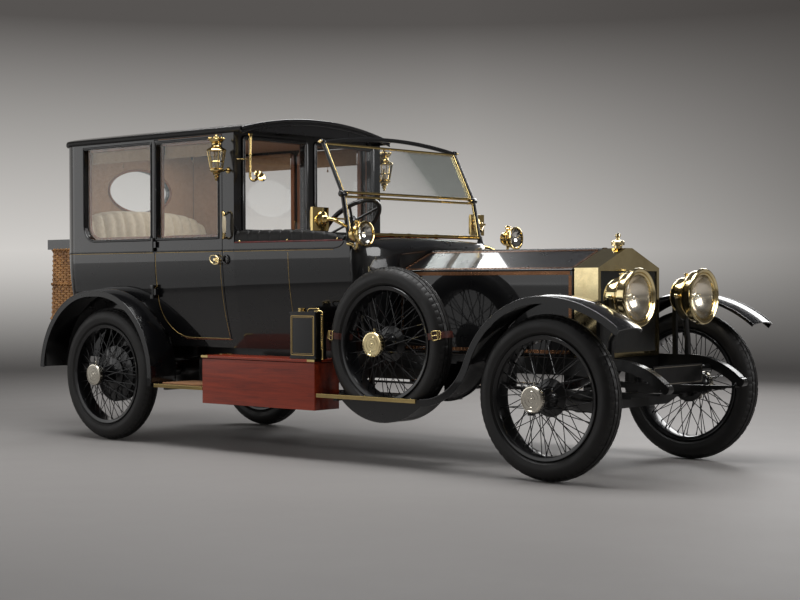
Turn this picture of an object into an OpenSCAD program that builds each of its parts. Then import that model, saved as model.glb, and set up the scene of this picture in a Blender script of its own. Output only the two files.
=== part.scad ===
// Open-drive limousine of the 1910s: ladder frame, wire wheels, closed rear saloon, open front seat.
// +X points forward, +Y to the car's left, +Z up. The origin is on the ground under the middle of the car.
// A station is a distance behind the front axle, or behind the rear axle where its name says so.

/* [Chassis] */
// Distance between the axles
wheelbase = 3645; // [3560:5:3760]
// Distance between the wheels' centre planes
track = 1450; // [1430:5:1490]
// Reach of the dumb irons ahead of the front axle
front_reach = 555; // [540:5:600]
// Clear width between the side rails
rail_gap = 750; // [730:5:770]
// Width of a side rail
rail_w = 50; // [44:1:56]
// Height of a side rail
rail_h = 95; // [85:1:105]
// Height of the frame's top above the ground
frame_top = 645; // [635:1:655]

/* [Wheels] */
// Outer diameter of a tyre
wheel_d = 895; // [880:1:905]
// Width of a tyre
tyre_w = 135; // [125:1:140]
// Height of a tyre over the rim's tyre seat
tyre_h = 125.5; // [120:0.5:130]
// Width of a rim
rim_w = 118; // [112:1:124]
// Diameter of a hub cap
hub_cap_d = 142; // [120:1:150]
// Reach of the hub cap outside the wheel's centre plane
hub_reach = 165; // [155:1:180]
// Spokes in each of a wheel's two rows
spokes = 30; // [12:2:36]
// Diameter of a spoke
spoke_d = 5; // [4:0.5:7]

/* [Steering] */
// Distance between the kingpins
kingpin_gap = 1280; // [1270:5:1290]
// Diameter of a kingpin
kingpin_d = 30; // [26:1:34]
// Length of a steering arm
steer_arm = 180; // [150:5:200]
// Diameter of the steering wheel
steering_d = 420; // [380:5:440]
// Slope of the steering column above level, in degrees
column_slope = 48; // [44:1:52]

/* [Body] */
// Width of the body at the belt
body_w = 1400; // [1380:5:1420]
// Tuck of each body side between the belt and the sill
side_tuck = 110; // [100:1:120]
// Height of the belt line
belt_z = 1272; // [1260:1:1290]
// Height of the eaves
eaves_z = 2030; // [2020:1:2060]
// Rise of the roof's crown above the eaves
crown_rise = 107; // [95:1:120]
// Thickness of a body wall or a door
wall = 38; // [32:1:42]
// Length of the bonnet
bonnet_l = 1275; // [1260:5:1290]
// Length of the open front compartment
cockpit_l = 955; // [940:5:980]
// Reach of the body's back behind the rear axle
side_reach = 605; // [590:5:620]
// Height of the front compartment's sides
cockpit_z = 1318; // [1305:1:1330]
/* [Doors] */
// Distance of the rear doors' hinges ahead of the rear axle
door_hinge_lead = 417; // [410:1:430]
// Width of the pillar between a rear door and the division
pillar_w = 105; // [95:1:115]
// Height of the doors' bottom edge
door_z = 698; // [690:1:710]
// Gap round a door
door_gap = 6; // [5:0.5:8]
// Height of the window sills
window_z = 1360; // [1350:1:1372]
// Height of the window heads
window_top = 1985; // [1970:1:1992]

/* [Front] */
// Width of the radiator
radiator_w = 632; // [620:2:640]
// Depth of the radiator
radiator_d = 160; // [150:1:170]
// Height of the radiator's eaves
radiator_eaves = 1143; // [1135:1:1150]
// Height of the radiator's apex
radiator_apex = 1255; // [1245:1:1265]
// Outer diameter of a headlamp's rim
headlamp_d = 320; // [300:2:330]
// Distance between the headlamps' middles
headlamp_gap = 680; // [670:5:700]
// Height of the headlamps' middles
headlamp_z = 980; // [975:1:990]

/* [Fenders] */
// Clearance of the front fenders' crowns over the tyres
front_clear = 90; // [80:1:105]
// Clearance of the rear fenders' crowns over the tyres
rear_clear = 112; // [105:1:120]
// Width over the fenders
fender_span = 1630; // [1620:2:1650]
// Width of a fender
fender_w = 225; // [215:1:230]
// Height of the running boards
board_z = 400; // [390:1:410]

/* [Luggage] */
// Length of the tool box
box_l = 1000; // [900:5:1005]
// Height of the tool box
box_h = 305; // [290:1:320]
// Depth of the tool box
box_d = 225; // [210:1:228]
// Gap between the body's back and the trunk
trunk_gap = 85; // [70:1:120]
// Width of the trunk
trunk_w = 960; // [900:5:1000]
// Depth of the trunk, front to back
trunk_d = 345; // [330:1:346]
// Height of the wicker trunk without its lid
trunk_h = 514; // [480:2:530]
// Height of the trunk's lid
lid_h = 72; // [60:1:73]

/* [Hidden] */
$fn = 64;
seat_gap = 0.3;
pin_gap = 0.3;
move_gap = 5;
plate = 12;

// Stations along the car
rear_reach = side_reach + trunk_gap + trunk_d;
overall_l = front_reach + wheelbase + rear_reach;
front_x = overall_l / 2 - front_reach;
rear_x = front_x - wheelbase;
wheel_r = wheel_d / 2;
radiator_lead = 40;
rad_front = front_x + radiator_lead;
rad_back = rad_front - radiator_d;
dash_x = rad_back - bonnet_l;
scuttle_l = 110;
cockpit_x = dash_x - scuttle_l;
division_x = cockpit_x - cockpit_l;
division_t = 40;
back_x = rear_x - side_reach;
tail_x = -overall_l / 2;

// Body section: the sides fall straight to the belt and tuck in below it on one arc
half_w = body_w / 2;
front_half = half_w - 45;
taper = atan((half_w - front_half) / cockpit_l);
sill_z = frame_top;
side_drop = belt_z - sill_z;
side_r = (side_drop * side_drop + side_tuck * side_tuck) / (2 * side_tuck);
corner_r = side_tuck + wall + 25;
function inner_at(z) = half_w - side_r + sqrt(pow(side_r - wall, 2) - pow(belt_z - z, 2));
function tuck_at(z) = z >= belt_z ? 0 : side_r - sqrt(side_r * side_r - (belt_z - z) * (belt_z - z));
roof_over = 15;
roof_half = half_w + roof_over;
roof_t = 32;
roof_peak = 80;
floor_t = 20;
floor_z = frame_top + floor_t;

// Doors
hinge_out = 12;
hinge_r = 10;
hinge_pin_r = 6;
hinge_leaf = 45;
hinge_knuckle = 40;
hinge_x = rear_x + door_hinge_lead;
hinge_y = half_w + hinge_out;
hinge_heights = [1005, 1318];
door_front_x = division_x - pillar_w;
door_r = door_front_x - hinge_x - door_gap / 2;
door_top = eaves_z - 18;
door_corner = 250;
window_rail = 22;
window_r = 14;
quarter_back = 320;
quarter_front = 40;
quarter_r = 110;
front_door_w = 480;
front_door_hinge_z = [820, 1200];
glass_t = 6;

// Fender curves, in the plane of the wheel
front_crown = wheel_d + front_clear;
front_aft_r = wheel_r + 102.5;
front_fore_r = front_aft_r + 250;
front_fore_reach = 490;
front_drop = 70;
front_lead = 10;
rear_crown = wheel_d + rear_clear;
rear_r = wheel_r + 112.5;
rear_fore_lead = -55;
rear_aft_lead = -115;
rear_tip_a = 177;
lip_h = 34;
fender_out = fender_span / 2;
fender_in = fender_out - fender_w;
fender_crown = 16;
fender_t = 8;
section_r = (fender_w * fender_w / 4 + fender_crown * fender_crown) / (2 * fender_crown);
valance_t = 8;
front_hub = [front_lead, front_crown - front_aft_r];
drop_end = front_hub + front_aft_r * [-sin(front_drop), cos(front_drop)];
tail_r = (drop_end[1] - board_z) / (1 - cos(front_drop));
tail_centre = drop_end + tail_r * [-sin(front_drop), cos(front_drop)];
rear_hub_z = rear_crown - rear_r;
board_front = front_x + tail_centre[0] - seat_gap;
board_back = rear_x + rear_fore_lead + rear_r + fender_crown + seat_gap;
board_t = 15;
board_in = rail_gap / 2 + rail_w + 5;
board_out = fender_out - 15;

// Spare wheel, tool box and can on the right running board
spare_station = 1147;
spare_y = 700;
spare_sink = 132.5;
spare_z = board_z + wheel_r - spare_sink;
spare_x = front_x - spare_station;
well_gap = 6;
spare_seat_z = spare_z - well_gap + seat_gap;
well_t = 8;
box_station = 1645;
box_out = fender_out;
box_low = 300;
can_w = 225;
can_d = 105;
can_h = 265;

// Wheels
rim_r = wheel_r - tyre_h;
rim_t = 14;
rim_lip = 12;
rim_lip_t = 8;
stub_r = 22;
hub_in = -20;
inner_flange_r = 100;
outer_flange_r = 66;
outer_flange_z = 118;
drum_r = 190;
spoke_lean = 24;

// Steering and axles
hub_z = wheel_r;
kingpin_y = kingpin_gap / 2;
eye_r = 35;
eye_h = 90;
fork_t = 24;
web_in = kingpin_y + eye_r + move_gap;
web_t = 18;
beam_w = 50;
beam_h = 60;
beam_low = 350;
arm_w = 34;
rod_r = 14;
rod_pin_r = 9;
rod_eye_r = 20;
rear_tube_r = 40;
diff_r = 140;
shaft_z = 470;
spring_w = 50;
leaf_t = 11;
leaves = 5;
leaf_lap = 2;
front_spring_half = 500;
rear_spring_half = 620;
rear_spring_y = rail_gap / 2 + rail_w + 55;
front_sag = 8;
rear_sag = 45;

// Steering wheel
column_r = 19;
column_y = 280;
wheel_station = 1825;
wheel_centre = [front_x - wheel_station, -column_y, 1446];
steering_rim_r = 15;
spigot_r = 10;
spigot_l = 30;

// Bonnet
bonnet_half = radiator_w / 2 + 6;
bonnet_gap = 5;
bonnet_t = 6;
shoulder_z = radiator_eaves - 11;
ridge_z = radiator_apex + 5;
spine_half = 14;
spine_h = 14;
knuckle_r = 7;
ridge_y = spine_half + knuckle_r + pin_gap;
bonnet_low = frame_top + 10;
bonnet_x0 = dash_x + bonnet_gap;
bonnet_x1 = rad_back - bonnet_gap;

// Trunk
rack_z = 775;
rack_t = 18;
trunk_z = rack_z + rack_t;
trunk_wall = 22;
trunk_front = tail_x + trunk_d;
lid_z = trunk_z + trunk_h + 2;

// Shared shapes

// A flat outline in X and Z, made a solid between two places on Y
module across(y0, y1) {
    translate([0, y1, 0]) rotate([90, 0, 0]) linear_extrude(y1 - y0) children();
}

// A flat outline in Y and Z, made a solid between two places on X
module along(x0, x1) {
    translate([x0, 0, 0]) rotate([90, 0, 90]) linear_extrude(x1 - x0) children();
}

// A box between two corners
module block(low, high) {
    translate(low) cube(high - low);
}

// Both sides of the car
module pair() {
    children();
    mirror([0, 1, 0]) children();
}

// A round bar between two points
module bar(p, q, r, sides = 96) {
    d = q - p;
    translate(p) rotate([0, acos(d[2] / norm(d)), atan2(d[1], d[0])])
        cylinder(h = norm(d), r = r, $fn = sides);
}

module pie(r, a0, a1) {
    steps = 4;
    polygon(concat([[0, 0]], [for (k = [0:steps]) let (a = a0 + (a1 - a0) * k / steps) 2 * r * [cos(a),
        sin(a)]]));
}

// Part of a ring, thickness t inside radius r
module arc_band(c, r, a0, a1, t) {
    translate(c) intersection() {
        difference() {
            circle(r, $fn = r > 1500 ? 960 : 128);
            circle(r - t, $fn = r > 1500 ? 960 : 128);
        }
        pie(r, a0, a1);
    }
}

module round_rect(w, h, r) {
    translate([-w / 2 + r, -h / 2]) square([w - 2 * r, h]);
    translate([-w / 2, -h / 2 + r]) square([w, h - 2 * r]);
    for (x = [-1, 1], y = [-1, 1]) translate([x * (w / 2 - r), y * (h / 2 - r)]) circle(r);
}

// An oval of four arcs: half length a, half height b, end radius e
module oval(a, b, e) {
    big = ((a - e) * (a - e) + b * b - e * e) / (2 * (b - e));
    touch = (a - e) * big / (big - e);
    intersection() {
        translate([0, b - big]) circle(big);
        translate([0, big - b]) circle(big);
        square([2 * touch, 2 * b], center = true);
    }
    for (s = [-1, 1]) translate([s * (a - e), 0]) circle(e);
}

// Body volumes

module body_plan(inset, x1) {
    r = corner_r - inset;
    x0 = back_x + inset;
    w = half_w - inset;
    translate([x0 + r, -w]) square([x1 - x0 - r, 2 * w]);
    translate([x0, -w + r]) square([r, 2 * w - 2 * r]);
    for (s = [-1, 1]) translate([x0 + r, s * (w - r)]) circle(r);
}

module back_profile(inset, x1, top) {
    x0 = back_x + inset;
    translate([x0, belt_z]) square([x1 - x0, top - belt_z]);
    intersection() {
        translate([x0, sill_z]) square([x1 - x0, side_drop]);
        union() {
            translate([back_x + side_r, belt_z]) circle(side_r - inset, $fn = 480);
            translate([back_x + side_r, sill_z]) square([x1 - back_x, side_drop]);
        }
    }
}

module saloon_volume(inset, x1 = division_x, top = eaves_z) {
    intersection() {
        along(back_x - 1, x1) body_section(inset, top);
        translate([0, 0, sill_z]) linear_extrude(top - sill_z) body_plan(inset, x1);
        across(-half_w, half_w) back_profile(inset, x1, top);
    }
}

module body_section(inset, top) {
    translate([-half_w + inset, belt_z]) square([body_w - 2 * inset, top - belt_z]);
    intersection() {
        translate([half_w - side_r, belt_z]) circle(side_r - inset, $fn = 480);
        translate([side_r - half_w, belt_z]) circle(side_r - inset, $fn = 480);
        translate([-half_w, sill_z]) square([body_w, side_drop]);
    }
}

// A wall's section: how far out it stands from its own middle, and its height
module wall_profile(out, top) {
    translate([out - wall, belt_z]) square([wall, top - belt_z]);
    intersection() {
        difference() {
            translate([out - side_r, belt_z]) circle(side_r, $fn = 480);
            translate([out - side_r, belt_z]) circle(side_r - wall, $fn = 480);
        }
        translate([out - side_tuck - wall - 20, sill_z]) square([side_tuck + wall + 20, side_drop]);
    }
}

// The saloon's right side, with nothing cut
module side_wall() {
    along(back_x + corner_r, division_x) mirror([1, 0]) wall_profile(half_w, eaves_z);
}

// The saloon's walls, with nothing cut
module saloon_walls() {
    pair() {
        side_wall();
        translate([back_x + corner_r, -half_w + corner_r, 0]) rotate([0, 0, 180])
            rotate_extrude(angle = 90) wall_profile(corner_r, eaves_z);
    }
    across(-half_w + corner_r, half_w - corner_r) translate([back_x + corner_r, 0]) mirror([1, 0])
        wall_profile(corner_r, eaves_z);
}

// Rear door outline in X and Z, grown by g
module rear_door_outline(g) {
    x0 = hinge_x + door_gap / 2 - g;
    x1 = door_front_x + door_gap;
    z0 = door_z - g;
    r = door_corner + g;
    translate([x0, z0 + r]) square([x1 - x0, door_top + g - z0 - r]);
    translate([x0 + r, z0]) square([x1 - x0 - r, r]);
    translate([x0 + r, z0 + r]) circle(r);
}

// The room that a right rear door takes, grown by g; its front edge is round about the hinge
module rear_door_room(g) {
    intersection() {
        across(-half_w - 1, -half_w + side_tuck + wall + 20) rear_door_outline(g);
        translate([hinge_x, -hinge_y, 0]) cylinder(h = eaves_z + 1, r = door_r + g, $fn = 360);
    }
}

module door_window_outline(g) {
    x0 = hinge_x + window_rail + 3;
    x1 = door_front_x - window_rail - 24;
    translate([(x0 + x1) / 2, (window_z + window_top) / 2])
        round_rect(x1 - x0 - 2 * g, window_top - window_z - 2 * g, window_r);
}

module quarter_window_outline(g) {
    x0 = rear_x - quarter_back + g;
    x1 = hinge_x - quarter_front - g;
    z0 = window_z + g;
    z1 = window_top - g;
    translate([x0, z0 + quarter_r]) square([x1 - x0, z1 - z0 - quarter_r]);
    translate([x0 + quarter_r, z0]) square([x1 - x0 - quarter_r, quarter_r]);
    translate([x0 + quarter_r, z0 + quarter_r]) circle(quarter_r);
}

// The fixed half of a right-hand door hinge at height z: two knuckles, the pin and a leaf, aft of the pin
module hinge_fixed(x, z, dir) {
    depth = hinge_out + tuck_at(z - hinge_leaf) + wall / 2;
    for (s = [-1, 1]) translate([0, 0, z + s * (hinge_leaf + hinge_knuckle / 2 + pin_gap) / 2]) {
        h = hinge_leaf - hinge_knuckle / 2 - pin_gap;
        translate([x, -hinge_y, -h / 2]) cylinder(h = h, r = hinge_r);
        block([min(x, x + dir * 3 * hinge_r), -hinge_y, -h / 2],
            [max(x, x + dir * 3 * hinge_r), -hinge_y + depth, h / 2]);
    }
    translate([x, -hinge_y, z - hinge_leaf]) cylinder(h = 2 * hinge_leaf, r = hinge_pin_r);
}

// The moving half: one bored knuckle and its leaf
module hinge_moving(x, z, dir) {
    depth = hinge_out + tuck_at(z - hinge_leaf) + wall / 2;
    h = hinge_knuckle - 2 * pin_gap;
    translate([0, 0, z - h / 2]) {
        difference() {
            union() {
                translate([x, -hinge_y, 0]) cylinder(h = h, r = hinge_r);
                block([min(x, x + dir * 3 * hinge_r), -hinge_y - 4, 0],
                    [max(x, x + dir * 3 * hinge_r), -hinge_y + 4, h]);
                block([min(x + dir * 8, x + dir * 3 * hinge_r), -hinge_y, 0],
                    [max(x + dir * 8, x + dir * 3 * hinge_r), -hinge_y + depth, h]);
            }
            translate([x, -hinge_y, -1]) cylinder(h = h + 2, r = hinge_pin_r + 0.05);
        }
    }
}

// Fender pieces: a crowned blade with a lip along its outer edge, turned about the wheel's cross axis

module fender_section(flip, grow = 0) {
    w = fender_w / 2 + grow;
    mirror([flip ? 1 : 0, 0]) {
        intersection() {
            difference() {
                translate([fender_crown - section_r, 0]) circle(section_r + grow);
                translate([fender_crown - section_r, 0]) circle(section_r - fender_t - grow);
            }
            translate([-lip_h, -w]) square([2 * lip_h, 2 * w]);
        }
        translate([-lip_h, w - fender_t - grow]) square([lip_h + 0.5, fender_t + grow]);
        translate([-lip_h / 2, -w]) square([lip_h / 2 + 0.5, fender_t + grow]);
    }
}

// A right-hand bend about a centre in X and Z
module fender_bend(c, r, a0, a1, flip = false, grow = 0) {
    translate([c[0], -fender_out + fender_w / 2, c[1]]) rotate([90, 0, 0]) rotate([0, 0, a0])
        rotate_extrude(angle = a1 - a0) translate([r, 0]) fender_section(flip, grow);
}

// A straight run from a point in X and Z, in the direction of angle a
module fender_run(p, a, l) {
    translate([p[0], -fender_out + fender_w / 2, p[1]]) rotate([90, 0, 0]) rotate([0, 0, a])
        rotate([90, 0, 90]) linear_extrude(l) fender_section(false);
}

// The tail piece is a little thicker and laps the bend before it
module front_fender() {
    fore_a = asin(front_fore_reach / front_fore_r);
    lap_a = 1.5;
    lap_t = 0.8;
    translate([front_x, 0, 0]) {
        translate([front_lead, 0, 0]) mirror([1, 0, 0])
            fender_bend([0, front_crown - front_fore_r], front_fore_r, 90, 90 + fore_a);
        fender_bend(front_hub, front_aft_r, 90, 90 + front_drop);
        fender_bend(tail_centre, tail_r, -90, front_drop - 90 + lap_a, true, lap_t);
        across(-fender_in - valance_t, -fender_in) valance_outline();
    }
}

// The apron over the front fender's tail, between it and the frame
module valance_outline() {
    intersection() {
        translate(tail_centre) circle(tail_r + fender_t / 2);
        translate([tail_centre[0], board_z - fender_t / 2])
            square([tail_r * 0.78, frame_top - 40 - board_z]);
    }
}

module rear_fender_outline(inset) {
    for (c = [rear_fore_lead, rear_aft_lead]) intersection() {
        translate([c, rear_hub_z]) circle(rear_r - inset, $fn = 240);
        translate([c - rear_r, rear_hub_z]) square([2 * rear_r, rear_r]);
    }
    translate([rear_aft_lead, rear_hub_z]) square([rear_fore_lead - rear_aft_lead, rear_r - inset]);
}

module rear_fender() {
    translate([rear_x, 0, 0]) {
        fender_bend([rear_fore_lead, rear_hub_z], rear_r, 0, 90);
        fender_bend([rear_aft_lead, rear_hub_z], rear_r, 90, rear_tip_a);
        fender_run([rear_aft_lead, rear_crown], 0, rear_fore_lead - rear_aft_lead);
        fender_run([rear_fore_lead + rear_r, rear_hub_z], -90, rear_hub_z - board_z + board_t);
        across(-fender_in - valance_t, -fender_in) intersection() {
            rear_fender_outline(lip_h / 4);
            translate([-2 * rear_r, frame_top - rail_h]) square([4 * rear_r, rear_crown]);
        }
    }
}

// Wheels, with the outer side up

module tyre_shape() {
    rotate_extrude($fn = 96) intersection() {
        translate([wheel_r - tyre_w / 2, 0]) circle(d = tyre_w);
        translate([rim_r + seat_gap, -tyre_w / 2]) square([wheel_r, tyre_w]);
    }
}

module rim_shape() {
    e = rim_w / 2;
    rotate_extrude($fn = 96) polygon([
        [rim_r - rim_t, -e], [rim_r + rim_lip, -e], [rim_r + rim_lip, rim_lip_t - e],
            [rim_r, rim_lip_t + 4 - e],
        [rim_r, e - rim_lip_t - 4], [rim_r + rim_lip, e - rim_lip_t], [rim_r + rim_lip, e],
            [rim_r - rim_t, e]
    ]);
}

module hub_shape() {
    b = stub_r + pin_gap;
    rotate_extrude() polygon([
        [b, hub_in], [inner_flange_r + 5, hub_in], [inner_flange_r + 5, hub_in + plate],
        [outer_flange_r - 8, hub_in + 30], [outer_flange_r - 14, outer_flange_z - 20],
        [outer_flange_r + 2, outer_flange_z - 6], [outer_flange_r + 2, outer_flange_z + 6],
        [outer_flange_r - 20, outer_flange_z + 12], [outer_flange_r - 20, hub_reach - 25],
        [hub_cap_d / 2, hub_reach - 25], [hub_cap_d / 2, hub_reach - 6],
        [hub_cap_d / 2 - 6, hub_reach], [0, hub_reach], [0, outer_flange_z + 10], [b, outer_flange_z + 10]
    ]);
}

module spoke_row(r, z, rim_z, turn) {
    for (i = [0:spokes - 1]) {
        a = turn + i * 360 / spokes;
        b = a + (i % 2 == 0 ? spoke_lean : -spoke_lean);
        bar([r * cos(a), r * sin(a), z],
            [(rim_r - rim_t / 2) * cos(b), (rim_r - rim_t / 2) * sin(b), rim_z], spoke_d / 2, 6);
    }
}

module wheel_shape() {
    rim_shape();
    hub_shape();
    spoke_row(outer_flange_r - 4, outer_flange_z, 18, 0);
    spoke_row(inner_flange_r - 2, hub_in + plate / 2, -18, 180 / spokes);
}

// A wheel's place: its side of the car is -1 for the right and 1 for the left
module at_wheel(x, side) {
    translate([x, side * track / 2, wheel_r]) rotate([-90 * side, 0, 0]) children();
}

module drum_shape() {
    translate([0, 0, hub_in - 70]) difference() {
        cylinder(h = 70, r = drum_r);
        translate([0, 0, -1]) cylinder(h = 61, r = drum_r - 12);
        cylinder(h = 80, r = stub_r + pin_gap + 20);
    }
    translate([0, 0, hub_in - 10]) difference() {
        cylinder(h = 10, r = drum_r / 2);
        translate([0, 0, -1]) cylinder(h = 12, r = stub_r + pin_gap);
    }
}

// Pieces

module rail() {
    y0 = rail_gap / 2;
    iron_run = front_reach - 235;
    iron_drop = 120;
    iron_r = (iron_run * iron_run + iron_drop * iron_drop) / (2 * iron_drop);
    iron_a = asin(iron_run / iron_r);
    x1 = front_x + 210;
    block([trunk_front - 15, y0, frame_top - rail_h], [x1, y0 + rail_w, frame_top]);
    across(y0, y0 + rail_w) translate([x1, 0])
        arc_band([0, frame_top - iron_r], iron_r, 90 - iron_a, 90, rail_h * 0.6);
    translate([front_x + front_reach - 25, y0 + rail_w, frame_top - iron_drop - rail_h * 0.3])
        rotate([90, 0, 0]) cylinder(h = rail_w, r = 25);
}

cross_stations = [40, 700, 1450, 2100, 3000, 3900, 4300];
cross_t = 60;
module frame() {
    color("#1b1b1d") {
        pair() {
            rail();
            for (s = [1545, 2700, 3080]) board_iron(s);
            spring_hangers();
            // stays of the front fender
            block([front_x - 740, rail_gap / 2 + rail_w - 1, frame_top - 60],
                [front_x - 700, fender_in, frame_top - 30]);
            fender_stay();
        }
        for (s = cross_stations) {
            block([front_x - s - 40, -rail_gap / 2 - 1, frame_top - 5 - cross_t],
                [front_x - s + 40, rail_gap / 2 + 1, frame_top - 5]);
        }
        // tube between the dumb irons
        bar([front_x + 330, -rail_gap / 2 - 10, frame_top - 70],
            [front_x + 330, rail_gap / 2 + 10, frame_top - 70], 20);
    }
}

// Blocks between the springs' ends and the rail
module spring_hangers() {
    y0 = rail_gap / 2;
    front_end = beam_low + beam_h + leaves * leaf_t + front_sag + leaf_lap;
    rear_end = hub_z + rear_tube_r + leaves * leaf_t + rear_sag + leaf_lap;
    x0 = front_x - front_spring_half;
    block([x0 - 10, y0 + 5, front_end + seat_gap], [x0 + 30, y0 + rail_w - 5, frame_top - rail_h + 1]);
    for (s = [-1, 1]) {
        x = rear_x + s * (rear_spring_half - 20);
        block([x - 20, y0 + rail_w - 2, rear_end + seat_gap],
            [x + 20, rear_spring_y + spring_w / 2, frame_top - 8]);
    }
}

// An iron that carries a running board
module board_iron(s) {
    x = front_x - s;
    y1 = board_out - 60;
    block([x - 15, rail_gap / 2 + rail_w - 20, board_z - board_t - 24], [x + 15, y1, board_z - board_t]);
    block([x - 15, rail_gap / 2 + rail_w - 20, board_z - board_t - 24],
        [x + 15, rail_gap / 2 + rail_w, frame_top - rail_h + 1]);
}

// The bent iron at the front fender's fore part
stay_lead = 100;
module fender_stay() {
    x = front_x + stay_lead;
    z = front_crown - front_fore_r + sqrt(pow(front_fore_r, 2) - pow(stay_lead - front_lead,
        2)) - lip_h / 2;
    y0 = rail_gap / 2 + 6;
    block([x - 12, y0, frame_top - 60], [x + 12, y0 + 24, z - 20]);
    block([x - 12, y0, z - 44], [x + 12, fender_in + fender_t, z - 3]);
}

module front_axle() {
    half = rail_gap / 2 + rail_w + 10;
    color("#1b1b1d") difference() {
        union() {
            along(front_x - beam_w / 2, front_x + beam_w / 2) polygon([
                [-half, beam_low], [half, beam_low], [kingpin_y - 10, hub_z - 30],
                    [kingpin_y - 10, hub_z + 30],
                [half, beam_low + beam_h], [-half, beam_low + beam_h],
                [-kingpin_y + 10, hub_z + 30], [-kingpin_y + 10, hub_z - 30]
            ]);
            pair() translate([front_x, kingpin_y, hub_z - eye_h / 2]) cylinder(h = eye_h, r = eye_r);
        }
        pair() translate([front_x, kingpin_y, 0]) cylinder(h = wheel_d, r = kingpin_d / 2 + 0.05);
    }
}

// Right-hand knuckle: kingpin, fork, stub axle and arm
module knuckle() {
    h = eye_h / 2 + pin_gap;
    arm_z = hub_z - h - fork_t;
    translate([front_x, -kingpin_y, hub_z]) {
        translate([0, 0, -h - fork_t]) cylinder(h = 2 * (h + fork_t), r = kingpin_d / 2);
        for (z = [-h - fork_t, h]) translate([0, 0, z]) {
            cylinder(h = fork_t, r = eye_r - 3);
            block([-eye_r + 6, -web_in + kingpin_y - web_t, 0], [eye_r - 6, 0, fork_t]);
        }
        block([-eye_r + 6, -web_in + kingpin_y - web_t, -h - fork_t],
            [eye_r - 6, -web_in + kingpin_y, h + fork_t]);
        translate([0, -web_in + kingpin_y - 1, 0]) rotate([90, 0, 0])
            cylinder(h = track / 2 + outer_flange_z - 10 - web_in, r = stub_r);
    }
    translate([front_x, -kingpin_y, arm_z]) {
        block([-steer_arm, -arm_w / 2, 0], [0, arm_w / 2, fork_t]);
        translate([-steer_arm, 0, 0]) cylinder(h = fork_t, r = arm_w / 2);
        translate([-steer_arm, 0, -40]) cylinder(h = 41, r = rod_pin_r);
    }
}

module knuckle_right() {
    color("#26262a") knuckle();
}

module knuckle_left() {
    color("#26262a") mirror([0, 1, 0]) knuckle();
}

// The rod between the arms, under them; its ends are bored for the arms' pins
module track_rod() {
    color("#26262a") {
        z = hub_z - eye_h / 2 - pin_gap - fork_t - 40;
        x = front_x - steer_arm;
        difference() {
            union() {
                for (s = [-1, 1]) translate([x, s * kingpin_y, z]) cylinder(h = 38, r = rod_eye_r);
                bar([x, -kingpin_y + rod_eye_r / 2, z + 19], [x, kingpin_y - rod_eye_r / 2, z + 19], rod_r);
            }
            for (s = [-1, 1]) translate([x, s * kingpin_y, z - 1]) cylinder(h = 42, r = rod_pin_r + 0.05);
        }
    }
}

module rear_axle() {
    color("#1b1b1d") {
        end = track / 2 + outer_flange_z - 10;
        step = track / 2 + hub_in - 72;
        bar([rear_x, -step, hub_z], [rear_x, step, hub_z], rear_tube_r);
        bar([rear_x, -end, hub_z], [rear_x, end, hub_z], stub_r);
        translate([rear_x, 0, hub_z]) sphere(diff_r);
        bar([rear_x, 0, shaft_z], [front_x - 1980, 0, shaft_z], 45);
    }
}

module springs() {
    color("#222226") {
        pair() {
            spring(front_x, rail_gap / 2, front_spring_half, beam_low + beam_h, front_sag);
            spring(rear_x, rear_spring_y - spring_w / 2, rear_spring_half, hub_z + rear_tube_r, rear_sag);
        }
    }
}

// A pack of leaves over an axle; rear packs sit beside the rail
module spring(x, y, half, z, sag) {
    r = (half * half + sag * sag) / (2 * sag);
    a = asin(half / r);
    translate([x, 0, 0]) {
        across(y, y + spring_w) translate([0, z + r + leaves * leaf_t])
            for (i = [0:leaves - 1]) arc_band([0, 0], r + (i + 1) * leaf_t, -90 - a * (1 - 0.18 * i),
                -90 + a * (1 - 0.18 * i), leaf_t + leaf_lap);
        block([-30, y, z], [30, y + spring_w, z + 12]);
    }
}

module engine() {
    color("#4a4c50") {
        block([front_x - 1150, -190, frame_top - 5], [front_x - 150, 190, 1060]);
        block([front_x - 1980, -130, 460], [front_x - 1490, 130, 600]);
    }
}

module exhaust() {
    color("#5a4c42") {
        y = 235;
        z = 480;
        bar([front_x - 1000, y, 900], [front_x - 1000, y, z], 30);
        translate([front_x - 1000, y, z]) sphere(30);
        block([front_x - 1040, 190, 860], [front_x - 960, y, 920]);
        bar([front_x - 1000, y, z], [front_x - 3250, y, z], 30);
        bar([front_x - 2500, y, z], [front_x - 3100, y, z], 80);
        block([front_x - 3020, y - 15, z], [front_x - 2980, y + 15, frame_top - 5 - cross_t]);
    }
}

module radiator_outline(inset, low) {
    w = radiator_w / 2 - inset;
    flat = 30;
    polygon([
        [-w, low], [w, low], [w, radiator_eaves - inset / 2], [flat, radiator_apex - inset],
        [-flat, radiator_apex - inset], [-w, radiator_eaves - inset / 2]
    ]);
}

core_inset = 26;
core_low = 26;
module core_outline(g) {
    w = radiator_w / 2 - core_inset - g;
    z0 = frame_top - 5 + core_low + g;
    z1 = radiator_eaves - 18 - g;
    translate([-w, z0]) square([2 * w, z1 - z0]);
}

module radiator_shell() {
    color("#c8a45a") difference() {
        along(rad_back, rad_front) radiator_outline(0, frame_top - 5);
        along(rad_back - 1, rad_front + 1) core_outline(0);
    }
}

module radiator_core() {
    color("#141414") along(rad_back, rad_front - 10) core_outline(0);
}

module radiator_cap() {
    color("#c8a45a") translate([rad_front - 77, 0, radiator_apex]) rotate_extrude() polygon([
        [0, 0], [24, 0], [24, 14], [38, 18], [38, 36], [30, 44], [12, 48], [10, 60], [16, 68], [14, 80],
            [0, 88]
    ]);
}

module bonnet_spine() {
    color("#141416") block([bonnet_x0 - bonnet_gap, -spine_half, ridge_z - spine_h],
        [bonnet_x1 + bonnet_gap, spine_half, ridge_z]);
}

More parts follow.
